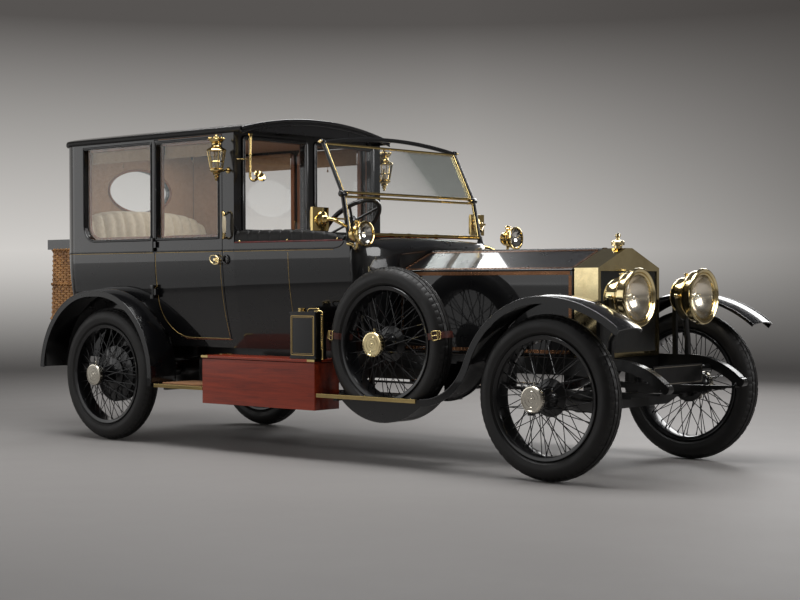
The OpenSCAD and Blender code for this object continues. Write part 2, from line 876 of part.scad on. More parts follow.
bonnet_slope = atan((ridge_z - spine_h / 2 - shoulder_z) / (bonnet_half - ridge_y));
bonnet_span = (bonnet_half - ridge_y) / cos(bonnet_slope);
// The right half's top panel, hung on a knuckle along the ridge
module bonnet_top() {
    translate([0, -ridge_y, ridge_z - spine_h / 2]) rotate([180 + bonnet_slope, 0, 0]) {
        block([bonnet_x0, 0, -bonnet_t / 2], [bonnet_x1, bonnet_span - knuckle_r - pin_gap, bonnet_t / 2]);
        bar([bonnet_x0, 0, 0], [bonnet_x1, 0, 0], knuckle_r);
    }
}

// The right half's side panel, hung on a knuckle along the shoulder
module bonnet_side() {
    translate([0, -bonnet_half, shoulder_z]) {
        block([bonnet_x0, -bonnet_t / 2, bonnet_low - shoulder_z], [bonnet_x1, bonnet_t / 2, 0]);
        bar([bonnet_x0, 0, 0], [bonnet_x1, 0, 0], knuckle_r);
    }
}

module bonnet_top_right() {
    color("#141416") bonnet_top();
}

module bonnet_top_left() {
    color("#141416") mirror([0, 1, 0]) bonnet_top();
}

module bonnet_side_right() {
    color("#141416") bonnet_side();
}

module bonnet_side_left() {
    color("#141416") mirror([0, 1, 0]) bonnet_side();
}

scuttle_top = 1340;
scuttle_t = 22;
// share of the scuttle's length and of its flare, at the steps of its round shoulder
scuttle_steps = [[0.3, 0.05], [0.6, 0.2], [0.85, 0.48]];
firewall_t = 14;
module scuttle_rear(inset) {
    intersection() {
        body_section(half_w - front_half + inset, scuttle_top - inset);
        translate([-half_w, sill_z]) square([body_w, scuttle_top]);
    }
}

module scuttle_front(inset) {
    w = bonnet_half + plate / 2 - inset;
    polygon([[-w, sill_z], [w, sill_z], [w, shoulder_z], [ridge_y, ridge_z - inset],
        [-ridge_y, ridge_z - inset], [-w, shoulder_z]]);
}

module scuttle() {
    color("#141416") difference() {
        hull() {
            along(cockpit_x, cockpit_x + 1) scuttle_rear(0);
            for (s = scuttle_steps) along(cockpit_x + s[0] * scuttle_l, cockpit_x + s[0] * scuttle_l + 1)
                scuttle_rear(s[1] * (front_half - bonnet_half));
            along(dash_x - 1, dash_x) scuttle_front(0);
        }
        hull() {
            along(cockpit_x - 1, cockpit_x) scuttle_rear(scuttle_t);
            along(dash_x - firewall_t - 1, dash_x - firewall_t) scuttle_front(scuttle_t);
        }
    }
}

module floor() {
    color("#6b5138") {
        intersection() {
            along(back_x, division_x + 1) body_section(wall + seat_gap, eaves_z);
            block([back_x + corner_r, -half_w, sill_z], [division_x + 1, half_w, floor_z]);
        }
        w0 = inner_at(sill_z) - 2 * seat_gap;
        w1 = w0 - cockpit_l * tan(taper) - 2;
        translate([0, 0, sill_z]) linear_extrude(floor_t)
            polygon([[division_x, -w0], [cockpit_x, -w1], [cockpit_x, w1], [division_x, w0]]);
    }
}

// The right front wall before it is turned to the taper
module front_wall() {
    along(division_x - 5, cockpit_x + 20) mirror([1, 0]) wall_profile(half_w, cockpit_z);
}

module front_turn() {
    translate([division_x, -half_w, 0]) rotate([0, 0, taper]) translate([-division_x, half_w, 0])
        children();
}

front_hinge_x = cockpit_x - 44;
front_door_r = front_door_w;
module front_door_room(g) {
    intersection() {
        across(-half_w - 1, -half_w + side_tuck + wall + 20)
            translate([front_hinge_x - front_door_w - 20, door_z - g])
            square([front_door_w + 20 - door_gap / 2 + g, cockpit_z - door_z + 2 * g + 2]);
        translate([front_hinge_x, -hinge_y, 0]) cylinder(h = eaves_z, r = front_door_r + g, $fn = 360);
    }
}

module body_front() {
    color("#141416") {
        intersection() {
            front_turn() front_wall();
            block([division_x, -half_w, 0], [cockpit_x, 0, eaves_z]);
        }
        mirror([0, 1, 0]) {
            difference() {
                intersection() {
                    front_turn() front_wall();
                    block([division_x, -half_w, 0], [cockpit_x, 0, eaves_z]);
                }
                front_turn() front_door_room(door_gap / 2);
            }
            front_turn() for (z = front_door_hinge_z) hinge_fixed(front_hinge_x, z, 1);
        }
    }
}

module door_front_left() {
    color("#141416") mirror([0, 1, 0]) front_turn() {
        intersection() {
            front_wall();
            front_door_room(-door_gap / 2);
        }
        for (z = front_door_hinge_z) hinge_moving(front_hinge_x, z, -1);
    }
}

post_half = 58;
division_sill = 1405;
module division_window_outline(g) {
    w = half_w - wall - 60 - post_half;
    for (s = [-1, 1]) translate([s * (post_half + w / 2), (division_sill + window_top) / 2])
        round_rect(w - 2 * g, window_top - division_sill - 2 * g, window_r);
}

module division() {
    color("#18181a") difference() {
        intersection() {
            saloon_volume(wall + seat_gap, division_x, eaves_z);
            block([division_x - division_t, -half_w, floor_z], [division_x, half_w, eaves_z]);
        }
        along(division_x - division_t - 1, division_x + 1) division_window_outline(0);
    }
}

module rear_window_outline(g) {
    translate([0, 1735]) oval(285 - g, 150 - g, 90 - g);
}

module body_rear() {
    color("#141416") {
        difference() {
            saloon_walls();
            rear_door_room(door_gap / 2);
            mirror([0, 1, 0]) rear_door_room(door_gap / 2);
            across(-half_w - 1, half_w + 1) quarter_window_outline(0);
            along(back_x - 1, back_x + wall + 1) rear_window_outline(0);
            pair() across(-fender_out, -fender_in + seat_gap) translate([rear_x, 0]) arch_outline();
        }
        pair() for (z = hinge_heights) hinge_fixed(hinge_x, z, -1);
    }
}

module arch_outline() {
    for (c = [rear_fore_lead, rear_aft_lead]) translate([c, rear_hub_z])
        circle(rear_r + fender_crown + seat_gap, $fn = 240);
    translate([rear_aft_lead, 0]) square([rear_fore_lead - rear_aft_lead,
        rear_crown + fender_crown + seat_gap]);
    translate([rear_aft_lead, 0]) square([rear_fore_lead - rear_aft_lead + rear_r + fender_crown + seat_gap, rear_hub_z]);
}

module roof_section(half, low, rise, lip) {
    r = (half * half + rise * rise) / (2 * rise);
    translate([-half, low]) square([2 * half, lip]);
    intersection() {
        translate([0, low + lip + rise - r]) circle(r, $fn = 480);
        translate([-half, low + lip]) square([2 * half, rise]);
    }
}

roof_lip = 14;
roof_edge_r = 70;
module roof() {
    x0 = back_x - roof_over;
    x1 = division_x + roof_peak;
    r = corner_r + roof_over;
    color("#151517") difference() {
        intersection() {
            along(x0, x1) roof_section(roof_half, eaves_z, crown_rise - roof_lip, roof_lip);
            translate([0, 0, eaves_z]) linear_extrude(crown_rise) {
                translate([x0 + r, -roof_half]) square([x1 - x0 - r, 2 * roof_half]);
                translate([x0, -roof_half + r]) square([r, 2 * roof_half - 2 * r]);
                for (s = [-1, 1]) translate([x0 + r, s * (roof_half - r)]) circle(r);
            }
            across(-roof_half, roof_half) {
                translate([x0 + roof_edge_r, eaves_z]) square([x1 - x0, crown_rise]);
                translate([x0, eaves_z]) square([roof_edge_r, crown_rise - roof_edge_r]);
                translate([x0 + roof_edge_r, eaves_z + crown_rise - roof_edge_r]) circle(roof_edge_r);
            }
        }
        along(back_x + corner_r, division_x - division_t)
            translate([0, -1]) roof_section(half_w - wall, eaves_z, crown_rise - roof_t, 1);
    }
}

module window_glass() {
    color([0.75, 0.82, 0.8, 0.4]) {
        pair() across(-half_w + wall / 2 - glass_t / 2, -half_w + wall / 2 + glass_t / 2)
            quarter_window_outline(seat_gap);
        along(back_x + wall / 2 - glass_t / 2, back_x + wall / 2 + glass_t / 2)
            rear_window_outline(seat_gap);
        along(division_x - division_t / 2 - glass_t / 2, division_x - division_t / 2 + glass_t / 2)
            division_window_outline(seat_gap);
    }
}

// Windscreen: a lower and an upper light, the upper one raked more; stations and heights of its rails
screen_half = front_half - wall / 2;
screen_aft = [18, 75, 237];
screen_z = [cockpit_z, 1599, 1920];
post_r = 13;
rail_r = 10;
function screen_point(i, y) = [cockpit_x - screen_aft[i], y, screen_z[i]];
function screen_between(f, y) = screen_point(0, y) + (screen_point(1, y) - screen_point(0, y)) * f;
module windscreen_frame() {
    color("#c8a45a") {
        pair() {
            bar(screen_between(0.05, screen_half), screen_point(1, screen_half), post_r);
            bar(screen_point(1, screen_half) - [0, 0, 3], screen_point(2, screen_half) + [0, 0, 4],
                post_r - 1);
            bar(screen_point(1, screen_half - post_r - 4), screen_point(1, screen_half + post_r + 8),
                post_r + 4);
            block(screen_point(0, screen_half - 18) - [16, 0, 0],
                screen_point(0, screen_half + 16) + [16, 0, 20]);
        }
        bar(screen_point(1, 6 - screen_half), screen_point(1, screen_half - 6), rail_r);
        bar(screen_point(2, 6 - screen_half), screen_point(2, screen_half - 6), rail_r);
        bar(screen_between(0.16, 6 - screen_half), screen_between(0.16, screen_half - 6), rail_r);
        // arched head over the top rail
        along(screen_point(2, 0)[0] - 12, screen_point(2, 0)[0] + 12) intersection() {
            translate([0, screen_z[2] + 46 - 4000]) circle(4000, $fn = 720);
            translate([4 - screen_half, screen_z[2] + 5]) square([2 * screen_half - 8, 60]);
        }
    }
}

module windscreen_glass() {
    color([0.8, 0.85, 0.83, 0.35]) {
        screen_pane(screen_between(0.16, 0), screen_point(1, 0));
        screen_pane(screen_point(1, 0), screen_point(2, 0));
    }
}

module screen_pane(p, q) {
    d = q - p;
    w = screen_half - post_r - 4 - seat_gap;
    translate(p) rotate([0, atan2(d[0], d[2]), 0])
        block([-glass_t / 2, -w, rail_r + seat_gap], [glass_t / 2, w, norm(d) - rail_r - seat_gap]);
}

// Seats: a box, a cushion and a back each
cushion_z = 960;
cushion_half = half_w - 125;
front_cushion_l = 530;
front_cushion_t = 120;
front_back = [125, half_w - 110, 1390];
module front_seat() {
    box_half = cushion_half - 105;
    box_l = front_cushion_l - 30;
    cushion_top = cushion_z + front_cushion_t;
    color("#1a1512") {
        x0 = division_x;
        block([x0 + 10, -box_half, floor_z], [x0 + box_l, box_half, cushion_z]);
        block([x0 + 10, -cushion_half, cushion_z], [x0 + front_cushion_l, cushion_half, cushion_top]);
        block([x0 + seat_gap, -front_back[1], cushion_top],
            [x0 + front_back[0], front_back[1], front_back[2]]);
    }
}

rear_cushion_l = 575;
rear_cushion_t = 130;
rear_back_z = 1600;
module rear_seat() {
    x0 = back_x + 135;
    x1 = x0 + rear_cushion_l;
    box_half = cushion_half - 45;
    cushion_top = cushion_z + rear_cushion_t;
    color("#d9cdb4") intersection() {
        saloon_volume(wall + 12, division_x, eaves_z);
        union() {
            block([x0, -box_half, floor_z], [x1 - 20, box_half, cushion_z]);
            block([x0, -cushion_half, cushion_z], [x1, cushion_half, cushion_top]);
            block([back_x, -half_w, cushion_top], [x0 + 50, half_w, rear_back_z]);
            block([back_x, -cushion_half + 15, cushion_z], [x0 + 30, cushion_half - 15, cushion_top + 10]);
        }
    }
}

column_dir = [-cos(column_slope), 0, sin(column_slope)];
module steering_column() {
    color("#2a2a2c") {
        reach = (dash_x - firewall_t - wheel_centre[0]) / cos(column_slope) + 60;
        intersection() {
            bar(wheel_centre - reach * column_dir, wheel_centre - 22 * column_dir, column_r);
            block([wheel_centre[0] - 100, -column_y - 100, 0],
                [dash_x - firewall_t, -column_y + 100, 2000]);
        }
        bar(wheel_centre - 40 * column_dir, wheel_centre + (spigot_l - 22) * column_dir, spigot_r);
    }
}

module steering_wheel() {
    color("#1c1410") translate(wheel_centre) rotate([0, column_slope - 90, 0]) {
        rotate_extrude($fn = 96) translate([steering_d / 2 - steering_rim_r, 0]) circle(steering_rim_r);
        difference() {
            union() {
                translate([0, 0, -20]) cylinder(h = 40, r = 34);
                for (a = [45:90:315]) rotate([0, 0, a])
                    bar([20, 0, 0], [steering_d / 2 - steering_rim_r, 0, 0], 8);
            }
            translate([0, 0, -21]) cylinder(h = spigot_l + 1, r = spigot_r + pin_gap);
        }
    }
}

module front_fenders() {
    color("#141416") {
        mirror([0, 1, 0]) front_fender();
        difference() {
            front_fender();
            spare_well(well_t + seat_gap);
            spare_well(0);
        }
    }
}

module rear_fenders() {
    color("#141416") pair() rear_fender();
}

module board_plan() {
    block([board_back, -board_out, board_z - board_t], [board_front, -board_in, board_z]);
}

module running_boards() {
    color("#1a1a1a") {
        mirror([0, 1, 0]) board_plan();
        difference() {
            union() {
                board_plan();
                spare_well(well_t);
            }
            spare_well(0);
            block([front_x - box_station - box_l, -box_out - 1, 0],
                [front_x - box_station, -box_out + box_d, 2000]);
        }
    }
}

// The dish in the right board that the spare stands in, grown by t
module spare_well(t) {
    w = tyre_w / 2 + well_gap + t;
    intersection() {
        translate([spare_x, -spare_y, spare_z]) rotate([90, 0, 0])
            cylinder(h = 2 * w, r = wheel_r + well_gap + t, center = true, $fn = 128);
        block([spare_x - wheel_r * 1.5, -spare_y - w, 0],
            [spare_x + wheel_r * 1.5, -spare_y + w, board_z + (t > 0 ? 0 : 100)]);
    }
}

module tool_box() {
    color("#6a3420") block([front_x - box_station - box_l, -box_out, box_low],
        [front_x - box_station, -box_out + box_d, box_low + box_h]);
}

module spirit_can() {
    color("#17181a") {
        x1 = front_x - box_station - 5;
        z0 = box_low + box_h;
        block([x1 - can_w, -box_out + 15, z0], [x1, -box_out + 15 + can_d, z0 + can_h]);
        translate([x1 - 50, -box_out + 15 + can_d / 2, z0 + can_h - 1]) cylinder(h = 26, r = 22);
        across(-box_out + 5 + can_d / 2, -box_out + 25 + can_d / 2) translate([x1 - can_w + 65, z0 + can_h])
            arc_band([0, 0], 40, 0, 180, 10);
    }
}

module spare_tyre() {
    color("#19191b") translate([spare_x, -spare_y, spare_seat_z]) rotate([90, 0, 0]) tyre_shape();
}

module spare_wheel() {
    color("#151517") translate([spare_x, -spare_y, spare_seat_z]) rotate([90, 0, 0]) wheel_shape();
}

lamp_x = front_x + 329;
module headlamps() {
    color("#c8a45a") pair() {
        r = headlamp_d / 2;
        translate([lamp_x, headlamp_gap / 2, headlamp_z]) rotate([0, -90, 0]) rotate_extrude() polygon([
            [r - 26, 0], [r - 6, 0], [r, 6], [r, 24], [r - 14, 34], [r - 30, 74], [r - 42, 84],
                [r - 42, 96],
            [r - 34, 104], [r - 34, 150], [r - 54, 176], [60, 190], [0, 196], [0, 186], [56, 180],
            [r - 62, 168], [r - 44, 146], [r - 52, 90], [r - 40, 70], [r - 26, 36]
        ]);
        lamp_post();
    }
}

module lamp_post() {
    x = lamp_x - 150;
    y = rail_gap / 2 + rail_w / 2;
    z = headlamp_z - headlamp_d / 2 + 30;
    translate([x, y, frame_top]) cylinder(h = z - frame_top - 10, r = 16);
    block([x - 14, headlamp_gap / 2 - 5, z - 22], [x + 14, y + 14, z - 2]);
    block([x - 14, headlamp_gap / 2 - 14, z - 22], [x + 14, headlamp_gap / 2 + 14, z + 30]);
}

side_lamp_x = front_x - 1300;
side_lamp_y = front_half + 80;
side_lamp_z = 1349;
side_lamp_r = 77;
module side_lamps() {
    color("#c8a45a") pair() {
        r = side_lamp_r;
        translate([side_lamp_x, side_lamp_y, side_lamp_z]) rotate([0, -90, 0]) rotate_extrude() polygon([
            [r - 14, 0], [r - 4, 0], [r, 4], [r, 16], [r - 8, 22], [r - 12, 80], [r - 40, 105], [0, 110],
                [0, 96], [r - 46, 92], [r - 20, 74], [r - 14, 20]
        ]);
        y0 = front_half + 1.3;
        block([cockpit_x - 24, y0, cockpit_z - 50], [cockpit_x - 10, y0 + 14, side_lamp_z]);
        block([cockpit_x - 24, y0, side_lamp_z - 9], [cockpit_x - 10, side_lamp_y + 9, side_lamp_z + 9]);
        block([cockpit_x - 24, side_lamp_y - 9, side_lamp_z - 9],
            [side_lamp_x - 104, side_lamp_y + 9, side_lamp_z + 9]);
    }
}

carriage_x = division_x - 50;
carriage_y = half_w + 100;
carriage_z = [1707, 2003];
carriage_r = 62;
carriage_foot = 44;
module carriage_lamps() {
    color("#c8a45a") pair() {
        translate([carriage_x, carriage_y, carriage_z[0]]) {
            rotate_extrude() polygon([
                [0, 0], [14, 4], [18, 30], [26, 46], [carriage_foot, 62], [carriage_foot, 84], [0, 84]
            ]);
            for (a = [0:60:300]) rotate([0, 0, a])
                bar([carriage_foot - 7, 0, 80], [carriage_r - 7, 0, 190], 4);
            translate([0, 0, 186]) rotate_extrude() polygon([
                [0, 0], [carriage_r, 0], [carriage_r, 14], [44, 34], [34, 60], [44, 74], [20, 92],
                    [8, 110], [0, 110]
            ]);
        }
        block([carriage_x - 12, half_w, carriage_z[0] + 64],
            [carriage_x + 12, carriage_y - 24, carriage_z[0] + 80]);
    }
}

module lamp_glass() {
    color([0.9, 0.92, 0.9, 0.4]) pair() {
        translate([lamp_x - 10, headlamp_gap / 2, headlamp_z]) rotate([0, 90, 0])
            cylinder(h = 6, r = headlamp_d / 2 - 26 - seat_gap);
        translate([side_lamp_x - 9, side_lamp_y, side_lamp_z]) rotate([0, 90, 0])
            cylinder(h = 5, r = side_lamp_r - 14 - seat_gap);
        translate([carriage_x, carriage_y, carriage_z[0] + 84])
            cylinder(h = 102, r1 = carriage_foot - 14, r2 = carriage_r - 14);
    }
}

mirror_x = front_x - 1650;
mirror_y = [front_half + 35, front_half + 175];
mirror_z = [1375, 1515];
module mirrors() {
    color("#c8a45a") pair() {
        z = (mirror_z[0] + mirror_z[1]) / 2;
        x = screen_between((z - screen_z[0]) / (screen_z[1] - screen_z[0]), 0)[0];
        y = mirror_y[0] + 22;
        block([mirror_x - 8, mirror_y[0], mirror_z[0]], [mirror_x + 8, mirror_y[1], mirror_z[1]]);
        block([mirror_x + 6, y - 6, z - 6], [x + 6, y + 6, z + 6]);
        block([x - 6, screen_half + post_r + seat_gap, z - 5], [x + 6, y, z + 5]);
    }
}

module luggage_rack() {
    color("#1b1b1d") {
        for (y = [-300, 0, 300]) block([tail_x, y - 20, rack_z], [trunk_front + 40, y + 20, trunk_z]);
        for (x = [tail_x + 30, trunk_front - 60])
            block([x, -trunk_w / 2 + 20, rack_z], [x + 40, trunk_w / 2 - 20, trunk_z]);
        pair() {
            y0 = rail_gap / 2;
            block([trunk_front - 54, y0 + 5, frame_top - rail_h],
                [trunk_front - 26, y0 + rail_w - 5, rack_z + rack_t / 2]);
            block([trunk_front - 55, y0 + 8, frame_top - rail_h + 6],
                [trunk_front - 15, y0 + rail_w - 8, frame_top - 6]);
        }
    }
}

module trunk_basket() {
    color("#a9824e") lid_hinge_fixed();
    color("#a9824e") difference() {
        block([tail_x, -trunk_w / 2, trunk_z], [trunk_front, trunk_w / 2, trunk_z + trunk_h]);
        block([tail_x + trunk_wall, -trunk_w / 2 + trunk_wall, trunk_z + trunk_wall],
            [trunk_front - trunk_wall, trunk_w / 2 - trunk_wall, trunk_z + trunk_h + 1]);
    }
}

lid_hinge_x = trunk_front + 10;
lid_pin_r = 5;
lid_knuckle_r = 8;
lid_hinge_y = [-300, 300];
// The basket's half of the lid's hinges
module lid_hinge_fixed() {
    for (y = lid_hinge_y) {
        for (s = [-1, 1]) translate([0, y + s * 33, 0]) {
            bar([lid_hinge_x, -12, lid_z], [lid_hinge_x, 12, lid_z], lid_knuckle_r);
            block([trunk_front - 5, -12, lid_z - 40], [lid_hinge_x, 12, lid_z - 5]);
        }
        bar([lid_hinge_x, y - 45, lid_z], [lid_hinge_x, y + 45, lid_z], lid_pin_r);
    }
}

// The lid's half
module lid_hinge_moving() {
    for (y = lid_hinge_y) difference() {
        union() {
            bar([lid_hinge_x, y - 20, lid_z], [lid_hinge_x, y + 20, lid_z], lid_knuckle_r);
            block([trunk_front - 5, y - 20, lid_z + 4], [lid_hinge_x, y + 20, lid_z + 40]);
        }
        bar([lid_hinge_x, y - 21, lid_z], [lid_hinge_x, y + 21, lid_z], lid_pin_r + 0.05);
    }
}

module trunk_lid() {
    color("#17171a") {
        lid_hinge_moving();
        difference() {
            block([tail_x, -trunk_w / 2, lid_z], [trunk_front, trunk_w / 2, lid_z + lid_h]);
            block([tail_x + plate, -trunk_w / 2 + plate, lid_z - 1],
                [trunk_front - plate, trunk_w / 2 - plate, lid_z + lid_h - plate]);
        }
    }
}

module number_plate() {
    color("#202022") block([front_x + 350, -260, frame_top - 150], [front_x + 358, 260, frame_top - 40]);
}

// Rear doors

module rear_door() {
    difference() {
        intersection() {
            side_wall();
            rear_door_room(-door_gap / 2);
        }
        across(-half_w - 1, 0) door_window_outline(0);
    }
    for (z = hinge_heights) hinge_moving(hinge_x, z, 1);
}

module rear_door_glass() {
    across(-half_w + wall / 2 - glass_t / 2, -half_w + wall / 2 + glass_t / 2)
        door_window_outline(seat_gap);
}

module door_rear_right() {
    color("#141416") rear_door();
}

module door_rear_left() {
    color("#141416") mirror([0, 1, 0]) rear_door();
}

module door_glass_right() {
    color([0.75, 0.82, 0.8, 0.4]) rear_door_glass();
}

module door_glass_left() {
    color([0.75, 0.82, 0.8, 0.4]) mirror([0, 1, 0]) rear_door_glass();
}

module tyre_front_right() {
    color("#19191b") at_wheel(front_x, -1) tyre_shape();
}

module tyre_front_left() {
    color("#19191b") at_wheel(front_x, 1) tyre_shape();
}

module tyre_rear_right() {
    color("#19191b") at_wheel(rear_x, -1) tyre_shape();
}

module tyre_rear_left() {
    color("#19191b") at_wheel(rear_x, 1) tyre_shape();
}

module wheel_front_right() {
    color("#151517") at_wheel(front_x, -1) wheel_shape();
}

module wheel_front_left() {
    color("#151517") at_wheel(front_x, 1) wheel_shape();
}

module rear_wheel() {
    wheel_shape();
    drum_shape();
}

module wheel_rear_right() {
    color("#151517") at_wheel(rear_x, -1) rear_wheel();
}

module wheel_rear_left() {
    color("#151517") at_wheel(rear_x, 1) rear_wheel();
}

frame();
front_axle();
rear_axle();
springs();
engine();
exhaust();
radiator_shell();
radiator_core();
radiator_cap();
bonnet_spine();
scuttle();
floor();
body_front();
division();
body_rear();
roof();
window_glass();
windscreen_frame();
windscreen_glass();
front_seat();
rear_seat();
steering_column();
front_fenders();
rear_fenders();
running_boards();
tool_box();
spirit_can();
spare_tyre();
spare_wheel();
headlamps();
side_lamps();
carriage_lamps();
lamp_glass();
mirrors();
luggage_rack();
trunk_basket();
number_plate();
trunk_lid();
door_rear_right();
door_rear_left();
door_glass_right();
door_glass_left();
door_front_left();
bonnet_top_right();
bonnet_top_left();
bonnet_side_right();
bonnet_side_left();
knuckle_right();
knuckle_left();
track_rod();
steering_wheel();
tyre_front_right();
tyre_front_left();
tyre_rear_right();
tyre_rear_left();
wheel_front_right();
wheel_front_left();
wheel_rear_right();
wheel_rear_left();
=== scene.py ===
"""Looks of an open-drive limousine of the 1910s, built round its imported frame."""

from math import cos, pi, radians, sin, sqrt

import bmesh
import bpy
from mathutils import Matrix, Vector
from mathutils.bvhtree import BVHTree
from mathutils.kdtree import KDTree


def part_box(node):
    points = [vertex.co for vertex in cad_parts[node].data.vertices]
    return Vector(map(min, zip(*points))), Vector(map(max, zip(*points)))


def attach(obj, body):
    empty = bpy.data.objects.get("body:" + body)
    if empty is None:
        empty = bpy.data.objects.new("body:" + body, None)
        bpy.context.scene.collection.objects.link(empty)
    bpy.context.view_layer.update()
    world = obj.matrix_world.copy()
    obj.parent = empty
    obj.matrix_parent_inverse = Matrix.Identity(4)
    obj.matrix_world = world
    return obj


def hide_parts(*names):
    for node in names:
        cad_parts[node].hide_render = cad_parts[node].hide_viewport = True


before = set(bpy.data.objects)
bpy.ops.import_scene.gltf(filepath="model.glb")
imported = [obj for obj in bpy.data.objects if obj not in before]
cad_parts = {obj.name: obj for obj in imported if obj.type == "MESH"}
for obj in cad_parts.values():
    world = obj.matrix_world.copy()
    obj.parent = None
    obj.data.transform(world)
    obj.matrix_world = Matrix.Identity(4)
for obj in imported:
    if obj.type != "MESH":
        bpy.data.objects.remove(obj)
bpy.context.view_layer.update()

# All lengths below are millimetres in the car's frame: +X forward, +Y to the left, +Z up
MM = 0.001
HALF = 700          # half width of the body at the belt
FRONT_HALF = 655    # half width at the scuttle
BELT = 1272         # height of the belt
SILL = 645          # height of the body's bottom edge
TUCK = 110          # how far the sides come in at the sill
WALL = 38           # thickness of a wall or door
EAVES = 2030
WINDOW_LOW, WINDOW_TOP = 1360, 1985
DIVISION_SILL, DIVISION_POST = 1405, 58
SIDES = ((-1, "right"), (1, "left"))


def span(node):
    """Lowest and highest corner of a CAD node, in millimetres."""
    low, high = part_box(node)
    return low / MM, high / MM


def middle(node):
    low, high = span(node)
    return (low + high) / 2


FRONT_AXLE = middle("tyre_front_right").x
REAR_AXLE = middle("tyre_rear_right").x
DIVISION = span("division")[1].x
SCUTTLE_BACK = span("scuttle")[0].x
DASH = span("scuttle")[1].x
BACK = span("body_rear")[0].x
DOOR_LOW, DOOR_HIGH = span("door_glass_right")


def shift(x, y, z):
    return Matrix.Translation((x, y, z))


def turned(degrees, axis):
    return Matrix.Rotation(radians(degrees), 4, axis)


def round_turn(steps):
    """Angles evenly round a circle."""
    return [2 * pi * i / steps for i in range(steps)]


def rgb(code):
    """A linear colour from a six-digit screen colour."""
    parts = [int(code[i:i + 2], 16) / 255 for i in (0, 2, 4)]
    return (*[p / 12.92 if p <= 0.04045 else ((p + 0.055) / 1.055) ** 2.4 for p in parts], 1)


# Finishes


class Value:
    """A shader socket that can stand in a Python sum."""

    def __init__(self, finish, socket):
        self.finish = finish
        self.socket = socket

    def _join(self, operation, first, second):
        return self.finish.node("ShaderNodeMath", {"operation": operation}, {0: first, 1: second})

    def __add__(self, other):
        return self._join("ADD", self, other)

    def __sub__(self, other):
        return self._join("SUBTRACT", self, other)

    def __rsub__(self, other):
        return self._join("SUBTRACT", other, self)

    def __mul__(self, other):
        return self._join("MULTIPLY", self, other)

    def __truediv__(self, other):
        return self._join("DIVIDE", self, other)

    def __pow__(self, other):
        return self._join("POWER", self, other)

    __radd__ = __add__
    __rmul__ = __mul__


class Finish:
    """One material: a Principled shader and the nodes that feed it."""

    def __init__(self, name, **constants):
        self.material = bpy.data.materials.new(name)
        self.material.use_nodes = True
        self.tree = self.material.node_tree
        self.shader = self.tree.nodes["Principled BSDF"]
        for socket, value in constants.items():
            self.feed(socket.replace("_", " "), value)
        self.where = self.node("ShaderNodeTexCoord", out="Object")

    def link(self, value, socket):
        if isinstance(value, Value):
            self.tree.links.new(value.socket, socket)
        else:
            socket.default_value = value

    def node(self, kind, settings=None, sockets=None, out=0):
        made = self.tree.nodes.new(kind)
        for name, value in (settings or {}).items():
            if name == "stops":
                for i, (at, colour) in enumerate(value):
                    stop = made.color_ramp.elements[i] if i < 2 else made.color_ramp.elements.new(at)
                    stop.position = at
                    stop.color = colour
            else:
                setattr(made, name, value)
        for name, value in (sockets or {}).items():
            self.link(value, made.inputs[name])
        return Value(self, made.outputs[out])

    def feed(self, socket, value):
        self.link(value, self.shader.inputs[socket])

    def stretched(self, factors):
        """The surface's place, multiplied along each axis."""
        return self.node("ShaderNodeVectorMath", {"operation": "MULTIPLY"}, {0: self.where, 1: factors})

    def noise(self, scale, detail=2.0, rough=0.5, place=None, warp=0.0):
        return self.node("ShaderNodeTexNoise", {}, {
            "Vector": place or self.where, "Scale": scale, "Detail": detail, "Roughness": rough,
            "Distortion": warp})

    def cells(self, scale, feature):
        return self.node("ShaderNodeTexVoronoi", {"feature": feature}, {"Vector": self.where, "Scale": scale})

    def wave(self, scale, direction, profile="SIN"):
        return self.node("ShaderNodeTexWave", {"bands_direction": direction, "wave_profile": profile}, {
            "Vector": self.where, "Scale": scale, "Distortion": 0.0, "Detail": 2.0})

    def ramp(self, value, low, high):
        """0 up to low, 1 from high on."""
        return self.node("ShaderNodeMapRange", {}, {0: value, 1: low, 2: high})

    def mix(self, share, first, second):
        return self.node("ShaderNodeMix", {"data_type": "RGBA"}, {0: share, 6: first, 7: second}, out=2)

    def bump(self, height, strength, distance):
        self.feed("Normal", self.node("ShaderNodeBump", {}, {
            "Strength": strength, "Distance": distance, "Height": height}))


def coach_paint(name, colour="060607", haze="0d0d10"):
    f = Finish(name, Coat_Weight=1.0, Coat_Roughness=0.03, Coat_IOR=1.5, Specular_IOR_Level=0.15)
    cloud = f.noise(1.6, 3)
    flow = f.noise(420, 2)
    f.feed("Base Color", f.mix(cloud * 0.6, rgb(colour), rgb(haze)))
    f.feed("Roughness", 0.22 + f.noise(9, 4) * 0.14)
    f.bump(flow, 0.012, 0.0006)
    return f.material


def wheel_enamel():
    f = Finish("wheel_enamel", Coat_Weight=0.6, Coat_Roughness=0.06, Specular_IOR_Level=0.25)
    f.feed("Base Color", f.mix(f.noise(7, 4), rgb("070708"), rgb("101012")))
    f.feed("Roughness", 0.24 + f.noise(30, 4) * 0.16)
    f.bump(f.noise(160, 3), 0.05, 0.0008)
    return f.material


def satin_black(name):
    f = Finish(name, Coat_Weight=0.5, Coat_Roughness=0.12, Specular_IOR_Level=0.3)
    dust = f.ramp(f.noise(5, 6, 0.65), 0.45, 0.75)
    f.feed("Base Color", f.mix(dust * 0.4, rgb("080808"), rgb("1d1b18")))
    f.feed("Roughness", 0.3 + dust * 0.25)
    f.bump(f.noise(240, 4), 0.12, 0.001)
    return f.material


